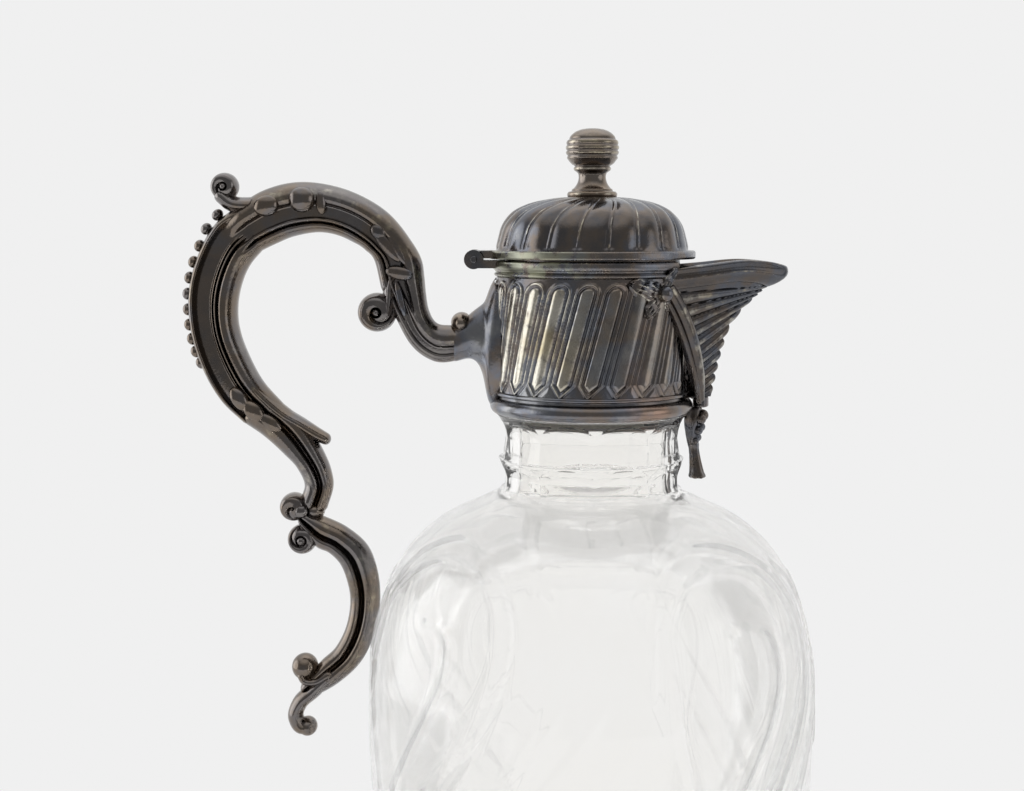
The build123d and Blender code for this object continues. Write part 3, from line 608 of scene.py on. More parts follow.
# ------------------------------------------------------------------ spout
SPOUT_WALL = 1.4
SPOUT_EDGE = [(18.0, 229.0), (30.3, 230.2), (44.3, 231.3), (52.8, 230.0), (60.0, 226.6)]
EDGE = spline(SPOUT_EDGE, 200)
VALLEYS = [  # lines between the ribs: x and level at the ribbon, rise for each mm towards the nose
    (31.4, 191.2, 0.67), (31.4, 194.2, 0.67), (31.4, 197.0, 0.66), (31.3, 199.6, 0.70), (31.0, 202.0, 0.72),
    (30.6, 204.3, 0.72), (29.9, 206.9, 0.68), (28.8, 209.7, 0.58), (28.0, 212.7, 0.46), (28.0, 215.9, 0.32),
    (26.5, 219.2, 0.18), (23.0, 222.9, 0.05),
]
RIB_HEIGHT = 1.15
CHANNEL_BOTTOM = 194.5


def spout_rows(rows, turn, bottom=SLEEVE_BOTTOM):
    """Levels of each column of the spout, from its foot to its curved top edge."""
    top = np.full(turn.shape, 229.0)
    for _ in range(12):
        x, _, _ = spout_plan(top, turn)
        top = np.interp(x, EDGE[:, 0], EDGE[:, 1])
    return bottom + np.linspace(0, 1, rows)[:, None] * (top - bottom)[None, :]


def rib_height(x, level):
    """Height of the ribs that climb from the ribbon to the nose, and where the plain band above them is."""
    lines = [start + rise * (x - at) for at, start, rise in VALLEYS]
    ribs = np.zeros_like(level)
    for low, high in zip(lines[:-1], lines[1:]):
        share = (level - low) / (high - low)
        inside = (share >= 0) & (share < 1)
        ribs = np.where(inside, np.sin(math.pi * np.clip(share, 0, 1)) ** 0.6, ribs)
    return ribs, level > lines[-1]


def spout_shell():
    """Ribbed shell of the spout with its smooth channel."""
    turn = np.linspace(-1, 1, 141)
    level = spout_rows(130, turn)
    x, y, normal = spout_plan(level, turn[None, :])
    ribs, band = rib_height(x, level)
    fade = smooth(level, SLEEVE_BOTTOM, SLEEVE_BOTTOM + 3)
    lift = np.where(band, -0.15, (ribs - 0.78) * RIB_HEIGHT) * fade
    ribs = np.where(band, 0.35, ribs)
    outside = np.stack([x + lift * normal[..., 0], y + lift * normal[..., 1], level], axis=-1)
    inner_level = spout_rows(24, turn, bottom=CHANNEL_BOTTOM)[::-1]
    x, y, normal = spout_plan(inner_level, turn[None, :])
    inside = np.stack([x - SPOUT_WALL * normal[..., 0], y - SPOUT_WALL * normal[..., 1], inner_level], axis=-1)
    floor = np.repeat(np.array([[(24.0, 0.0, SLEEVE_BOTTOM)]]), len(turn), axis=1)
    inner_floor = floor + np.array([0, 0, 2.7])
    points = np.concatenate([floor, outside, inside, inner_floor])
    dark = np.zeros((1, len(turn)))
    shade = np.concatenate([dark, ribs, np.full(inside.shape[:2], 0.35), dark])
    shape = Shape()
    shape.grid(points, shade, wrap_rows=True, wrap_cols=False)
    shape.build("ribbed_spout", spout_silver, "spout_silver", "spout_shell")


LIP_PROFILE = [  # outward, below the edge, relief
    (-1.40, 0.0, 0.6), (-0.6, -0.2, 0.8), (0.4, -0.1, 0.95), (1.0, 0.2, 0.9), (1.15, 0.6, 0.3),
    (0.75, 1.1, 0.1), (0.6, 1.8, 0.15), (0.8, 2.5, 0.3), (1.15, 2.9, 0.95), (1.0, 3.3, 0.6), (0.5, 3.7, 0.1),
    (0.35, 4.4, 0.2), (0.40, 5.1, 0.4), (0.35, 5.7, 0.4), (-0.3, 6.0, 0.1), (-1.2, 5.7, 0.0),
]


def spout_lip():
    """Stepped moulding round the spout's top edge, fuller at the nose."""
    turn = np.linspace(-0.98, 0.98, 161)
    edge = spout_rows(2, turn)[-1]
    rows = []
    nose = (1 - np.abs(turn)) ** 5
    for outward, below, _ in LIP_PROFILE:
        fuller = 1 + 0.45 * (1 - np.abs(turn)) ** 3 * (outward > 0)
        if 0.1 < below < 5.2 and outward > 0:
            round_nose = 2.5 * math.sin(math.pi * (below + 0.9) / 7.4)
            fuller = fuller * (1 - nose) + nose * round_nose / outward
        level = edge - below
        x, y, normal = spout_plan(level, turn)
        out = outward * fuller
        rows.append(np.stack([x + out * normal[:, 0], y + out * normal[:, 1], level], axis=-1))
    shade = np.repeat(np.array(LIP_PROFILE)[:, 2:3], len(turn), axis=1)
    shape = Shape()
    shape.grid(np.array(rows), shade, wrap_rows=True, wrap_cols=False)
    shape.build("spout_lip", spout_silver, "spout_silver", "spout_lip_moulding")


# ------------------------------------------------------------------ ribbon, bow and drop
RIBBON_POINTS = [  # middle line of the back ribbon; the front one mirrors it
    (19.6, 18.6, 223.4), (21.2, 17.6, 221.0), (24.9, 15.0, 213.5), (27.7, 11.8, 205.0), (29.3, 8.2, 198.0),
    (30.2, 5.4, 192.6),
]
RIBBON_FACING = (0.45, 1.0, 0.0)  # the ribbon faces more sideways than the round of the collar
RIBBON_SECTION = [  # across, towards the nose, and outward
    (-2.9, -0.8), (-2.95, 0.2), (-2.6, 0.95), (-2.1, 1.15), (-1.65, 0.85), (-1.4, 0.25), (-1.15, 0.75),
    (-0.6, 1.3), (0.1, 1.6), (0.8, 1.62), (1.5, 1.42), (2.1, 1.0), (2.55, 0.4), (2.7, -0.4), (2.2, -1.0),
    (0, -1.2),
]


def ribbon(sign, name, node):
    """Ribbon that follows the joint of the spout and the sleeve: a narrow and a broad roll."""
    line = spline([(x, sign * y, z) for x, y, z in RIBBON_POINTS], 70)
    along = unit(np.gradient(line, axis=0))
    outward = unit(line * np.array(RIBBON_FACING))
    across = unit(np.cross(outward, along))
    across = across * np.sign(across[:, :1])
    outward = unit(np.cross(across, along))
    outward = outward * np.sign(np.sum(outward * line * np.array([1, 1, 0]), axis=1, keepdims=True))
    section = spline([*RIBBON_SECTION, RIBBON_SECTION[0]], 49)[:-1]
    place = np.linspace(0, 1, len(line))[:, None]
    size = 0.92 + 0.14 * np.sin(math.pi * place)
    size = size * (1 - 0.22 * smooth(place, 0.8, 1))
    a = section[None, :, 0] * size
    b = section[None, :, 1] * size
    points = line[:, None] + a[..., None] * across[:, None] + b[..., None] * outward[:, None]
    shade = np.broadcast_to(np.clip(section[:, 1] / 1.6, 0, 1)[None, :], a.shape)
    shape = Shape()
    shape.grid(*rounded_ends(points, shade, (True, True)))
    shape.build(name, spout_silver, "spout_silver", node)


BOW_ANGLE = 47.0  # degrees from the spout towards each side
BOW_LEVEL = 222.6
BOW_LEAVES = [  # across towards the spout, up, half length, half breadth, tilt
    (-5.9, 1.2, 5.8, 3.0, -16), (-5.2, 2.6, 4.2, 1.5, -4), (-3.7, -3.4, 4.0, 2.4, 50), (2.2, 3.7, 3.9, 1.8, 68),
    (1.2, -2.6, 2.6, 1.5, -60),
]


def bow(sign, name, node):
    """Ribbon bow: crinkled leaf-shaped loops round a knot."""
    shape = Shape()
    middle = math.radians(90 - BOW_ANGLE)
    mirrored = np.array([1, -sign, 1])
    turn = around(28)
    for x0, z0, length, breadth, tilt in BOW_LEAVES:
        s = np.linspace(-1, 1, 40)[:, None]
        t = np.cos(turn)[None, :]
        up = np.clip(np.sin(turn), 0, 1)[None, :] ** 0.8
        broad = breadth * half_circle(s) * (1 + 0.08 * np.sin(9 * s))
        crinkle = 0.36 * np.sin(4.5 * math.pi * t + 5 * s) * half_circle(s)
        height = (1.25 * (1 - 0.45 * s**2) + crinkle) * up
        a = math.radians(tilt)
        x = x0 + length * s * math.cos(a) - broad * t * math.sin(a)
        z = z0 + length * s * math.sin(a) + broad * t * math.cos(a)
        angle = middle + x / SLEEVE_RADIUS
        ground = SLEEVE_RADIUS - 0.35 + 1.3 * smooth(BOW_LEVEL + z, 226.3, 228.8)
        points = on_round(ground + height, angle, BOW_LEVEL + z) * mirrored
        shape.grid(points, np.clip(0.25 + 0.5 * height / 1.4 + crinkle * 1.6, 0, 1))
    pebble(shape, on_round(SLEEVE_RADIUS + 0.9, middle, BOW_LEVEL) * mirrored, (2.0, 2.0, 2.3), relief=0.7)
    shape.build(name, leaf_silver, "spout_silver", node)


HUSK_X = 28.9
HUSK = [  # radius, level
    (0.2, 190.0), (2.1, 189.9), (2.55, 187.8), (2.45, 185.4), (2.0, 183.0), (1.6, 180.6), (1.35, 179.4), (0.2, 179.2),
]
TAIL_X = 29.7
TAIL = [
    (0.2, 179.9), (1.45, 179.8), (1.35, 178.0), (1.5, 174.5), (2.0, 171.2), (2.3, 169.9), (1.9, 169.6), (0.2, 169.9),
]
TAIL_MIDDLE = 174.5
TAIL_SWAY = 0.13  # mm towards the spout for each mm down
BERRIES = [(31.6, 187.5, 1.7, 1.75), (31.0, 184.2, 1.45, 1.35), (30.2, 181.2, 1.2, 1.0)]  # x, level, radius, spread
HUSK_ROWS = 46
TAIL_ROWS = 40


def petals(row, angle):
    """Rise of the husk's five leaning petals."""
    return 0.32 * np.cos(5 * angle + 0.12 * row) * np.sin(math.pi * row / (HUSK_ROWS - 1))


def flutes(row, angle):
    """Rise of the tail's six flutes."""
    return 0.18 * np.cos(6 * angle) * np.sin(math.pi * row / (TAIL_ROWS - 1))


def drop():
    """Hanging drop: a petalled husk with a bunch of berries and a fluted tail cut flat."""
    shape = Shape()
    turned(shape, spline(HUSK, HUSK_ROWS), 60, 0.45, petals, HUSK_X)
    shape.build("drop_husk_piece", drop_silver, "drop_silver", "drop_husk")
    shape = Shape()
    turned(shape, spline(TAIL, TAIL_ROWS), 60, 0.5, flutes, TAIL_X)
    for points in shape.points:
        points[:, 0] += TAIL_SWAY * (TAIL_MIDDLE - points[:, 2])
    shape.build("drop_tail_piece", drop_silver, "drop_silver", "drop_tail")
    shape = Shape()
    for x, level, radius, spread in BERRIES:
        pebble(shape, (x, 0, level), (radius, radius, radius), relief=0.8)
        for sign in (-1, 1):
            pebble(shape, (x - 0.7, sign * spread, level - 0.9), (radius * 0.9,) * 3, relief=0.7)
    shape.build("drop_berry_pieces", drop_silver, "drop_silver", "drop_berries")


# ------------------------------------------------------------------ lid
DOME = [(26.9, 234.0), (26.2, 237.2), (24.9, 241.3), (22.1, 244.7), (19.0, 246.4), (11.5, 248.3), (2.2, 249.0)]
PANELS = 20
SEAM_START = -47.5  # degrees at the rim
SEAM_TWIST = 1.15  # degrees for each mm that the dome closes in
DOME_WALL = 1.2


def lid_dome():
    """Dome with gently bulged spiral panels and a thin raised seam between them."""
    outline = spline(DOME, 90)
    step = np.linalg.norm(np.diff(outline, axis=0), axis=1)
    along = np.concatenate([[0], np.cumsum(step)])[:, None]
    radius = outline[:, :1]
    angle = around(PANELS * 30)[None, :]
    twist = math.radians(SEAM_START) + (DOME[0][0] - radius) * math.radians(SEAM_TWIST)
    share = ((angle - twist) * PANELS / (2 * math.pi)) % 1.0
    away = np.minimum(share, 1 - share) * 2 * math.pi * radius / PANELS
    size = np.clip(radius / 20, 0.12, 1) * smooth(along, 0.3, 1.2)
    seam = np.exp(-((away / 0.36) ** 2))
    bulge = np.clip(1 - (2 * share - 1) ** 2, 0, 1) ** 0.6
    lift = size * (1.15 * bulge + 0.75 * seam - 0.95)
    relief = np.clip(0.1 + 0.4 * bulge**3 + 0.9 * seam * size, 0, 1)
    normal = outline_normals(outline)
    outside = on_round(radius + lift * normal[:, :1], angle, outline[:, 1:] + lift * normal[:, 1:])
    inner = (outline - DOME_WALL * normal)[::-6]
    inside = on_round(inner[:, :1], angle, inner[:, 1:])
    shape = Shape()
    shade = np.concatenate([relief, np.full(inside.shape[:2], 0.3)])
    shape.grid(np.concatenate([outside, inside]), shade, wrap_rows=True)
    shape.build("fluted_dome", lid_silver, "lid_silver", "lid_dome", body="lid")


FINIAL = [  # radius, level, relief
    (1.6, 249.0, 0.2), (6.9, 249.0, 0.4), (7.0, 249.7, 0.9), (6.6, 250.3, 0.6), (5.8, 250.5, 0.1), (5.7, 250.9, 0.5),
    (5.2, 251.3, 0.8), (4.6, 252.0, 0.4), (4.0, 253.2, 0.3), (3.8, 254.4, 0.4), (4.0, 255.4, 0.3), (4.6, 255.9, 0.2),
    (5.1, 256.3, 0.9), (5.2, 256.9, 0.9), (4.9, 257.3, 0.2), (5.7, 257.9, 0.3), (6.6, 258.9, 0.6), (7.1, 259.8, 0.6),
    (6.9, 260.25, 0.0), (7.25, 260.7, 0.95), (7.4, 261.3, 0.9), (7.1, 261.75, 0.0), (7.4, 262.2, 1.0),
    (7.4, 262.8, 1.0), (7.1, 263.2, 0.0), (7.25, 263.7, 1.0), (7.05, 264.4, 0.9), (6.5, 264.8, 0.0), (6.3, 265.4, 0.7),
    (5.3, 266.5, 0.6), (3.7, 267.35, 0.6), (1.8, 267.75, 0.6), (0.01, 267.85, 0.6),
]


def finial():
    """Turned knob: spread foot, waisted stem and a ball with three raised bands."""
    table = spline([(r, z, shade * 0.2) for r, z, shade in FINIAL], 150)
    shape = Shape()
    turned(shape, table[:, :2], 96, np.clip(table[:, 2:] * 5, 0, 1))
    shape.build("finial_piece", finial_silver, "lid_silver", "finial", body="lid")


# ------------------------------------------------------------------ handle
NECK_ARM = [  # outer x, z, inner x, z and width
    (-36.8, 212.8, -36.8, 203.4, 9.2), (-38.6, 213.0, -38.6, 202.9, 9.6), (-43.4, 213.6, -44.8, 203.0, 9.6),
    (-45.8, 217.5, -51.3, 208.0, 10.0), (-46.5, 221.5, -55.4, 215.6, 10.8), (-46.9, 226.0, -59.2, 223.6, 11.8),
]
UPPER_ARM = [  # the same numbers, as in every table down to TONGUE
    (-47.6, 231.0, -60.7, 230.4, 12.6), (-51.3, 237.7, -63.6, 234.2, 13.2), (-56.8, 244.3, -67.3, 236.5, 13.6),
    (-65.0, 249.5, -71.5, 238.3, 13.8), (-75.9, 252.7, -77.4, 239.0, 14.0), (-85.0, 252.7, -84.0, 237.7, 14.2),
    (-92.5, 250.4, -88.4, 235.9, 14.2), (-98.4, 246.8, -92.4, 234.0, 14.0),
]
GRIP = [
    (-105.1, 241.7, -95.6, 230.3, 14.4), (-110.3, 232.8, -98.0, 225.4, 14.8),
    (-113.1, 222.5, -99.4, 219.2, 15.0), (-112.8, 212.0, -99.3, 213.0, 14.8),
    (-109.8, 201.2, -97.2, 206.0, 14.2), (-104.3, 191.4, -92.6, 197.0, 13.4),
    (-98.4, 185.6, -87.2, 190.8, 12.4),
]
LOWER_SCROLL = [
    (-93.0, 181.9, -80.6, 185.0, 11.8), (-87.3, 176.7, -75.8, 177.0, 11.2), (-83.4, 172.4, -73.7, 171.4, 10.6),
    (-81.4, 167.6, -73.3, 166.6, 10.0), (-82.6, 163.6, -75.0, 161.0, 9.6),
]
TAIL_SCROLL = [
    (-80.4, 160.2, -82.6, 155.6, 9.2), (-75.9, 158.4, -78.9, 150.3, 9.6), (-69.4, 155.2, -74.6, 147.9, 9.8),
    (-63.4, 149.6, -71.2, 144.1, 10.0), (-60.9, 142.7, -69.4, 138.9, 10.0), (-60.2, 134.4, -68.8, 133.6, 10.0),
    (-61.5, 125.8, -69.9, 127.0, 9.8), (-65.7, 116.3, -73.2, 120.2, 9.4), (-72.6, 109.7, -77.4, 116.2, 9.0),
    (-80.0, 105.5, -82.4, 110.6, 8.6),
]
VOLUTE_STEM = [
    (-53.4, 229.0, -57.6, 228.4, 7.0), (-54.4, 224.4, -58.6, 223.6, 8.4), (-55.0, 219.6, -58.8, 219.6, 9.4),
    (-55.8, 215.4, -58.8, 217.2, 9.6),
]
TONGUE = [
    (-97.4, 195.0, -94.3, 197.8, 11.0), (-93.0, 190.5, -90.2, 193.4, 11.0), (-88.5, 186.6, -85.8, 189.5, 10.2),
    (-83.0, 183.2, -80.9, 186.4, 8.8), (-78.4, 180.3, -77.0, 183.8, 7.4), (-75.8, 179.2, -74.6, 182.3, 6.4),
]
BEADS = [  # x, z on the back of the grip
    (-105.2, 243.9), (-108.4, 240.0), (-110.4, 235.3), (-112.2, 230.8), (-113.4, 226.4), (-114.0, 221.9),
    (-114.0, 217.5), (-113.7, 213.2), (-113.0, 209.2), (-112.0, 205.6), (-110.6, 202.4),
]


LIMBS = [  # piece, stations, rows, sections, rounded ends and the nodes it stands for
    ("neck_arm", NECK_ARM, 120, [(0.6, neck_section), (1, arm_section)], (False, False), ["handle_neck_arm"]),
    ("upper_arm", [NECK_ARM[-1], *UPPER_ARM], 240, [(0, arm_section)], (False, False), ["handle_upper_arm"]),
    ("grip", [UPPER_ARM[-1], *GRIP], 240, [(0, arm_section), (0.13, grip_section)], (False, True),
     ["handle_grip", "handle_grip_liner"]),
    ("lower_scroll", [GRIP[-1], *LOWER_SCROLL], 120, [(0, scroll_section)], (True, True), ["handle_lower_scroll"]),
    ("tail_scroll", TAIL_SCROLL, 200, [(0, scroll_section)], (True, True), ["handle_tail_scroll"]),
]


def on_handle(shape, name, *nodes, material=handle_silver):
    """Builds a piece of the handle."""
    shape.build(name, material, "handle_silver", *nodes)


def handle():
    """The members of the S-shaped handle: arm, grip and scrolls."""
    for name, stations, rows, sections, ends, nodes in LIMBS:
        shape = Shape()
        limb(shape, stations, rows, sections, ends)
        on_handle(shape, name, *nodes)


def scrolls():
    """Solid curled ends of the handle's members."""
    shape = Shape()
    limb(shape, VOLUTE_STEM, 50, [(0, leaf_section)])
    volute(shape, (-60.3, 216.7), 5.5, 5.2, 55, 0.6, 1.4, way=-1)
    on_handle(shape, "inner_volute", "handle_inner_volute")

    shape = Shape()
    curl(shape, [(-91.0, 247.0), (-96.5, 246.4), (-100.5, 247.0), (-103.4, 249.2)],
         (2.6, 2.2), (4.5, 4.2), (-103.4, 249.2, 1.5, 0.0))
    volute(shape, (-102.5, 251.7), 3.9, 4.4, -10, 0.55, 1.2, way=-1)
    on_handle(shape, "thumb_scroll", "handle_thumb_scroll")

    shape = Shape()
    volute(shape, (-84.5, 161.3), 4.0, 4.6, -60, 0.35, 0.5, way=-1)
    pebbles(shape, [(-82.0, 160.5, 1.9, 1.9, 0)], 3.8)
    pebble(shape, (-78.6, 0, 160.3), (2.9, 4.2, 2.4), -20, relief=0.5)
    on_handle(shape, "lower_volute", "handle_lower_volute")

    shape = Shape()
    volute(shape, (-82.2, 152.0), 4.2, 4.5, 70, 0.55, 1.6)
    pebble(shape, (-82.0, 0, 114.6), (3.8, 4.5, 3.9), relief=0.5)
    curl(shape, [(-74.8, 113.0), (-79.2, 110.8), (-82.0, 111.2), (-82.8, 112.6)],
         (1.9, 1.6), (4.2, 4.0), (-82.6, 113.0, 1.0, 0.0))
    on_handle(shape, "tail_volutes")

    shape = Shape()
    curl(shape, [(-75.5, 111.6), (-79.6, 107.7), (-83.7, 103.8), (-84.9, 99.8), (-83.3, 97.0), (-81.6, 96.9)],
         (2.3, 2.2), (4.2, 3.4), (-81.5, 97.0, 2.8, 0.5))
    on_handle(shape, "tail_tip", "handle_tail_tip")


def handle_ornament():
    """Lobes, leaves and beads on the handle."""
    shape = Shape()
    for i, (x, z) in enumerate(BEADS):
        before = BEADS[max(i - 1, 0)]
        after = BEADS[min(i + 1, len(BEADS) - 1)]
        tilt = math.degrees(math.atan2(after[1] - before[1], after[0] - before[0]))
        pebble(shape, (x + 0.45, 0, z), (1.75, 2.1, 1.5), tilt, relief=0.8)
    on_handle(shape, "grip_beads", "handle_beads")

    shape = Shape()
    pebbles(shape, [(-90.2, 246.3, 3.6, 2.9, 14), (-80.4, 248.0, 3.7, 3.5, 0), (-75.2, 247.2, 1.5, 3.2, 6)], 5.7)
    on_handle(shape, "arm_lobes", "handle_top_leaf")

    shape = Shape()
    pebbles(shape, [(-57.2, 235.6, 6.0, 1.7, -52), (-54.6, 235.0, 5.6, 1.4, -62), (-59.4, 239.2, 2.6, 2.0, -40),
                    (-53.6, 227.8, 3.9, 2.0, -12), (-53.4, 220.6, 5.0, 1.0, -76)], 5.0)
    on_handle(shape, "arm_leaves", "handle_arm_collar", material=leaf_silver)

    shape = Shape()
    limb(shape, TONGUE, 80, [(0, leaf_section)])
    pebbles(shape, [(-98.8, 192.6, 3.8, 2.3, -56), (-94.8, 189.2, 3.8, 2.5, -44), (-90.2, 185.9, 3.8, 2.0, -38)], 4.7)
    on_handle(shape, "grip_leaf", "handle_lower_leaf")

    shape = Shape()
    pebble(shape, (-36.6, 0, 213.8), (3.0, 5.2, 3.0), relief=0.8)
    on_handle(shape, "socket_boss", "handle_socket_boss", material=finial_silver)


# ------------------------------------------------------------------ glass body
BELLY_RADIUS = 63.6
BELLY_LEVEL = 104.6
BELLY_DROP = 154.0
HEEL_TOP = 9.0
FOOT = [(0.01, 1.6), (20, 1.4), (34, 1.2), (36.5, 0.3), (38, 0), (40, 0), (43, 1.4), (46.6, 4.4)]  # radius, level
SHOULDER = [(63.2, 116.0), (60.9, 129.0), (56.9, 141.0), (51.0, 150.6), (42.6, 157.9), (32.5, 162.9), (27.0, 165.6)]
GLASS_WALL = 3.2  # thinner than the CAD's, which keeps the edges pale
LINING_SHARE = 0.6  # how much of the moulding shows on the inside too
BOSS_MIDDLE = -47.0  # degrees; four bosses stand a quarter turn apart
BOSS_LIFT = 1.9
RIDGE_LIFT = 0.55
RIDGE_BREADTH = 1.1
MOULDED_RADIUS = 58.0  # where degrees are turned into mm to measure across the mouldings
BOSS = [  # outline: degrees from the boss's middle, level
    (-26, 128), (-25.5, 140), (-20, 148), (-10, 152.8), (3, 153.2), (14, 149.5), (20, 142), (21.5, 134), (20, 124),
    (15, 112), (7, 99), (-4, 84), (-16, 66), (-24, 52), (-22, 66), (-20, 82), (-22, 100), (-25, 114),
]
RIDGES = [  # thin lines around and between the bosses, in the same numbers
    [(-31, 122), (-30.5, 132), (-29.5, 141), (-25.4, 150.5), (-14.6, 156.2), (0, 156.8), (12, 154), (21, 148),
     (25.6, 140), (25.8, 131), (23.5, 121), (18, 109), (9, 95), (-2, 80), (-14, 62)],
    [(27.4, 148.5), (33.3, 143.7), (36, 135.7), (35.4, 125.9), (30.9, 113), (22, 98), (11, 82), (-2, 64)],
    [(44, 143), (45, 137), (41.5, 129), (37.3, 120), (31, 108), (21, 92), (9, 76)],
    [(52, 139), (51.9, 132.2), (48, 122), (42, 111), (33, 98)],
    [(-3, 137), (4.8, 134.7), (6.6, 126.6), (2.9, 115.1), (-3, 104), (-11, 90)],
]


def to_line(points, line):
    """Distance from each point to a line of straight runs."""
    best = np.full(len(points), 1e9)
    for a, b in zip(line[:-1], line[1:]):
        run = b - a
        share = np.clip(((points - a) @ run) / (run @ run), 0, 1)
        best = np.minimum(best, np.linalg.norm(points - a - share[:, None] * run, axis=1))
    return best


def inside_line(points, line):
    """True where a point is inside a closed line."""
    result = np.zeros(len(points), bool)
    for a, b in zip(line, np.roll(line, -1, axis=0)):
        crosses = (a[1] > points[:, 1]) != (b[1] > points[:, 1])
        where = (b[0] - a[0]) * (points[:, 1] - a[1]) / (b[1] - a[1] + 1e-12) + a[0]
        result ^= crosses & (points[:, 0] < where)
    return result


def glass_relief(angles, levels):
    """Lift of the moulded bosses and ridges, for one quarter turn of the body."""
    per_degree = math.radians(1) * MOULDED_RADIUS
    grid_angle, grid_level = np.meshgrid(angles, levels)
    lift = np.zeros(grid_angle.size)
    for turn in (-90, 0, 90):
        points = np.stack([(grid_angle.ravel() - turn) * per_degree, grid_level.ravel()], axis=-1)
        boss = np.array([(a * per_degree, z) for a, z in BOSS])
        boss = spline(np.vstack([boss, boss[:1]]), 80)[:-1]
        away = to_line(points, np.vstack([boss, boss[:1]]))
        within = inside_line(points, boss)
        lift += np.where(within, BOSS_LIFT * smooth(away, -0.6, 2.8), 0)
        for ridge in RIDGES:
            line = spline([(a * per_degree, z) for a, z in ridge], 40)
            lift += RIDGE_LIFT * np.exp(-((to_line(points, line) / RIDGE_BREADTH) ** 2))
    return lift.reshape(grid_angle.shape)


NECK_CUTS = 10  # hollow facets in each row
CUT_ROWS = ((167.2, 175.2), (175.8, 186.9))  # lowest and highest level of each row
CUT_ARCH = 2.4  # how far a facet's round top falls at its sides
CUT_DEPTH = 0.9
NECK_WAIST = [  # level, radius
    (166.6, 25.7), (168.2, 25.3), (171, 25.2), (175.2, 26.0), (175.5, 26.3), (175.8, 26.0), (182.0, 25.1),
    (185.8, 25.4), (187.0, 25.9), (188.3, 26.9),
]
SEAT = [  # radius, level of the part inside the collar
    (24.4, 188.4), (24.2, 189.0), (24.2, 200.8), (23.6, 201.8), (22.4, 202.0), (21.2, 201.6), (20.8, 200.8),
]
BORE = [(20.8, 198), (20.8, 184), (20.8, 174), (21.1, 168.8), (22.8, 164.6)]
INNER_FLOOR = [(44, 14.2), (36, 13.2), (20, 13.0), (0.01, 13.0)]


def neck_cuts(angle, levels):
    """Depth, below zero, of the hollow facets around the neck."""
    cut = np.zeros((len(levels), len(angle)))
    share = ((angle / (2 * math.pi) * NECK_CUTS) % 1.0 - 0.5) * 2
    for low, high in CUT_ROWS:
        arch = high - CUT_ARCH * np.abs(share) ** 2.2
        inside = (levels[:, None] > low) & (levels[:, None] < arch[None, :])
        depth = np.sqrt(np.clip((arch[None, :] - levels[:, None]) / 2.5, 0, 1))
        cut -= np.where(inside, depth * CUT_DEPTH * (1 - 0.75 * share[None, :] ** 2), 0)
    return cut


def glass_body():
    """Vessel: moulded bosses and ridges on the body, two rows of hollow facets on the neck."""
    cols = 480
    angle = around(cols)
    body_levels = np.concatenate([np.linspace(HEEL_TOP, 60, 50)[:-1], np.linspace(60, BELLY_LEVEL, 60)[:-1]])
    body = np.stack([BELLY_RADIUS * np.sqrt(1 - ((BELLY_LEVEL - body_levels) / BELLY_DROP) ** 2), body_levels], axis=-1)
    moulded = np.vstack([body, spline([(BELLY_RADIUS, BELLY_LEVEL), *SHOULDER], 110)])
    neck_levels = np.linspace(NECK_WAIST[0][0], NECK_WAIST[-1][0], 66)
    neck = np.stack([np.interp(neck_levels, *np.array(NECK_WAIST).T), neck_levels], axis=-1)
    outline = np.vstack([FOOT, moulded, neck, SEAT])

    quarter = np.degrees(angle[: cols // 4]) - 45.0
    lift = np.tile(glass_relief(quarter, moulded[:, 1]), (1, 4))
    lift = np.roll(lift, round((BOSS_MIDDLE + 45.0) / 360 * cols), axis=1)
    lift *= smooth(moulded[:, 1], 20, 55)[:, None] * smooth(-moulded[:, 1], -163, -158)[:, None]

    normal = outline_normals(outline)
    rise = np.zeros((len(outline), cols))
    first = len(FOOT)
    neck_first = first + len(moulded)
    rise[first:neck_first] = lift
    rise[neck_first : neck_first + len(neck)] = neck_cuts(angle, neck_levels)
    radius = outline[:, :1] + rise * normal[:, :1]
    level = outline[:, 1:] + rise * normal[:, 1:]
    beside = normal[first:neck_first]
    lining = moulded - GLASS_WALL * beside
    kept = np.flatnonzero((lining[:, 1] > 14) & ((lining[:, 0] > 27) | (lining[:, 1] < 150)))[::-1]
    depth = (GLASS_WALL - LINING_SHARE * lift[kept])[..., None]
    wall = moulded[kept][:, None] - depth * beside[kept][:, None]
    bore = np.repeat(spline([*BORE, lining[kept[0]]], 40)[:-1, None], cols, axis=1)
    floor = np.repeat(np.array(INNER_FLOOR)[:, None], cols, axis=1)
    lined = np.concatenate([bore, wall, floor])
    inside = on_round(lined[..., 0], angle[None, :], lined[..., 1])
    outside = on_round(radius, angle[None, :], level)
    shape = Shape()
    shape.grid(np.concatenate([outside, inside]), 0.5)
    shape.build("glass_body", cut_glass, "cut_glass", "glass_vessel")


collar_sleeve()
collar_rim()
spout_shell()
spout_lip()
for side_sign, side_name in ((-1, "front"), (1, "back")):
    ribbon(side_sign, f"ribbon_{side_name}", f"ribbon_strap_{side_name}")
    bow(side_sign, f"bow_{side_name}", f"bow_knot_{side_name}")
drop()
lid_dome()
finial()
handle()
scrolls()
handle_ornament()
glass_body()

CAD_LOOKS = {
    "plaster_bed": setting_plaster,
    "lid_rim": rim_silver,
    "collar_base_bead": bead_silver,
    "collar_lower_wire": bead_silver,
    "ribbon_clasp": clasp_copper,
}
for node, carried in frame["nodes"].items():
    carried.data.materials.clear()
    carried.data.materials.append(CAD_LOOKS.get(node, plain_silver))


# ------------------------------------------------------------------ studio
def put(name, data, place):
    """Stands a lamp or camera in the scene."""
    made = bpy.data.objects.new(name, data)
    made.location = place
    bpy.context.scene.collection.objects.link(made)
    return made


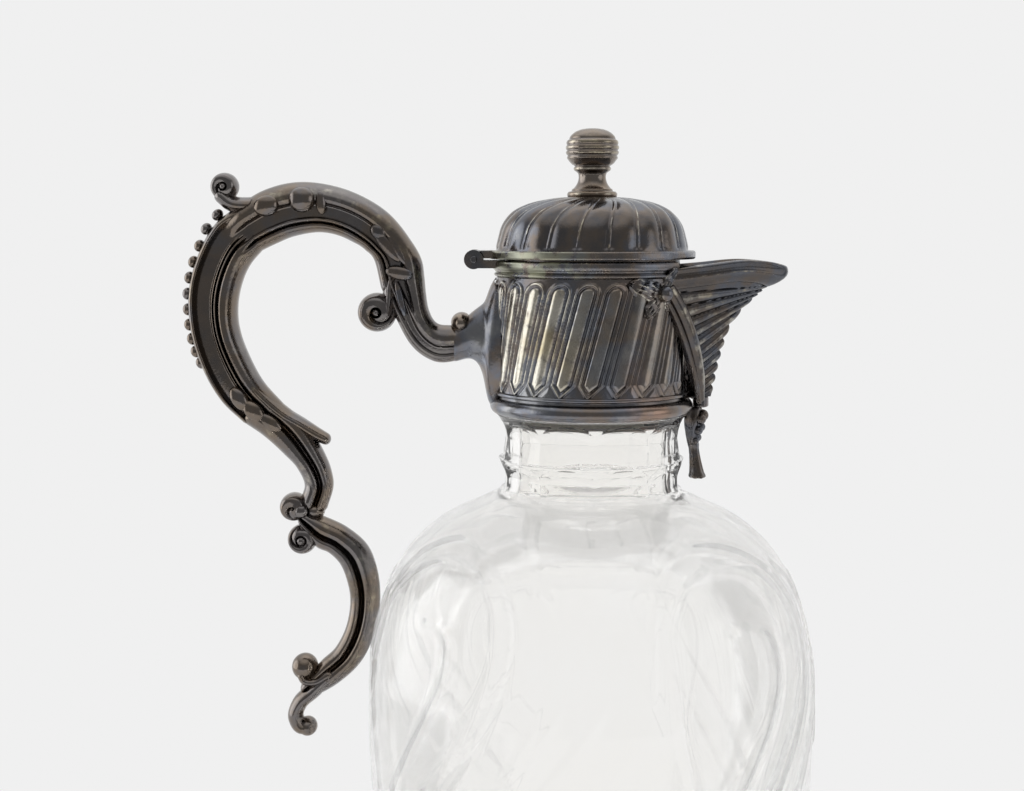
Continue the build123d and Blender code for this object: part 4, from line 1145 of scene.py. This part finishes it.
BACKGROUND = 0.871
ROOM = 0.26  # light from the camera's side
OVERHEAD = 0.6  # added from above
LIGHTS = [  # direction, where the glow starts and is full, strength
    ((-0.985, 0.12, 0.10), 0.80, 0.93, 1.50),
    ((0.94, -0.30, 0.10), 0.90, 0.97, 0.80),
]


def world():
    """Pale backdrop, a darker room on the camera's side, and a soft glow at the left, the right and above."""
    made = bpy.data.worlds.new("studio")
    bpy.context.scene.world = made
    n = Nodes(made)
    direction = n.add("TexCoord", "Generated", {})
    split = n.split(direction)
    level = n.plus(ROOM, n.span(split["Y"], -0.1, 0.5, BACKGROUND - ROOM))
    level = n.plus(level, n.span(split["Z"], 0.55, 0.95, OVERHEAD))
    for axis, start, full, strength in LIGHTS:
        towards = n.new("VectorMath")
        towards.operation = "DOT_PRODUCT"
        n.feed(towards.inputs[0], direction)
        towards.inputs[1].default_value = axis
        level = n.plus(level, n.span(towards.outputs["Value"], start, full, strength))
    path = n.new("LightPath").outputs
    seen = n.calc("MAXIMUM", path["Is Camera Ray"], path["Is Transmission Ray"])
    seen = n.calc("MAXIMUM", seen, n.calc("GREATER_THAN", path["Transmission Depth"], 0.5))
    light = n.add("Background", "Background", {"Color": n.mix(seen, level, (BACKGROUND,) * 3)})
    n.feed(n.new("OutputWorld").inputs["Surface"], light)


FLOOR_TONES = (0.3, (0.80,) * 3), (0.7, (0.84,) * 3)
SHADOW_REACH = (0.09, 0.24)  # metres from the jug between which the floor turns into the backdrop


def floor():
    """Round pale floor that keeps a shadow near the jug and meets the backdrop without a line."""
    shape = Shape()
    radii = np.array([0.1, 100, 200, 400, 600])[:, None]
    shape.grid(on_round(radii, around(96)[None, :], np.zeros_like(radii)), 0.0)
    material, n, shader = new_material("floor_look")
    place = n.place()
    n.feed(shader.inputs["Base Color"], n.ramp(n.noise(place, 60, 3, 0.5), *FLOOR_TONES))
    shader.inputs["Roughness"].default_value = 0.7
    glow = n.add("Emission", "Emission", {"Color": (BACKGROUND,) * 3, "Strength": 1.0})
    away = n.add("VectorMath", "Value", {0: place}, operation="LENGTH")
    path = n.new("LightPath").outputs
    far = n.times(n.span(away, *SHADOW_REACH), path["Is Camera Ray"])
    share = n.calc("MAXIMUM", far, n.calc("GREATER_THAN", path["Transmission Depth"], 0.5))
    n.feed(n.surface, n.add("MixShader", "Shader", {"Fac": share, 1: shader.outputs["BSDF"], 2: glow}))
    shape.object("floor", material)[0]


def softbox():
    """Soft lamp above and to the left, that mirrors and glass don't show."""
    lamp = bpy.data.lights.new("top_softbox", "AREA")
    lamp.shape = "RECTANGLE"
    lamp.size, lamp.size_y = 0.9, 0.6
    lamp.energy = 4
    made = put("top_softbox", lamp, (-0.25, -0.35, 1.0))
    made.visible_glossy = False
    made.visible_transmission = False
    made.rotation_euler = (Vector((0, 0, 0.2)) - made.location).to_track_quat("-Z", "Y").to_euler()


IMAGE_WIDTH = 1024
FOCAL_PIXELS = 1577
SENSOR = 36.0
CAMERA_PLACE = (-0.0224, -0.444, 0.240)
CAMERA_DROP = 6.03  # degrees below level


def camera():
    lens = bpy.data.cameras.new("camera")
    lens.sensor_width = SENSOR
    lens.lens = FOCAL_PIXELS / IMAGE_WIDTH * SENSOR
    lens.clip_start = 0.01
    lens.clip_end = 30
    made = put("camera", lens, CAMERA_PLACE)
    made.rotation_euler = (math.radians(90 - CAMERA_DROP), 0, 0)
    bpy.context.scene.camera = made


world()
floor()
softbox()
camera()
bpy.context.scene.view_settings.view_transform = "Standard"
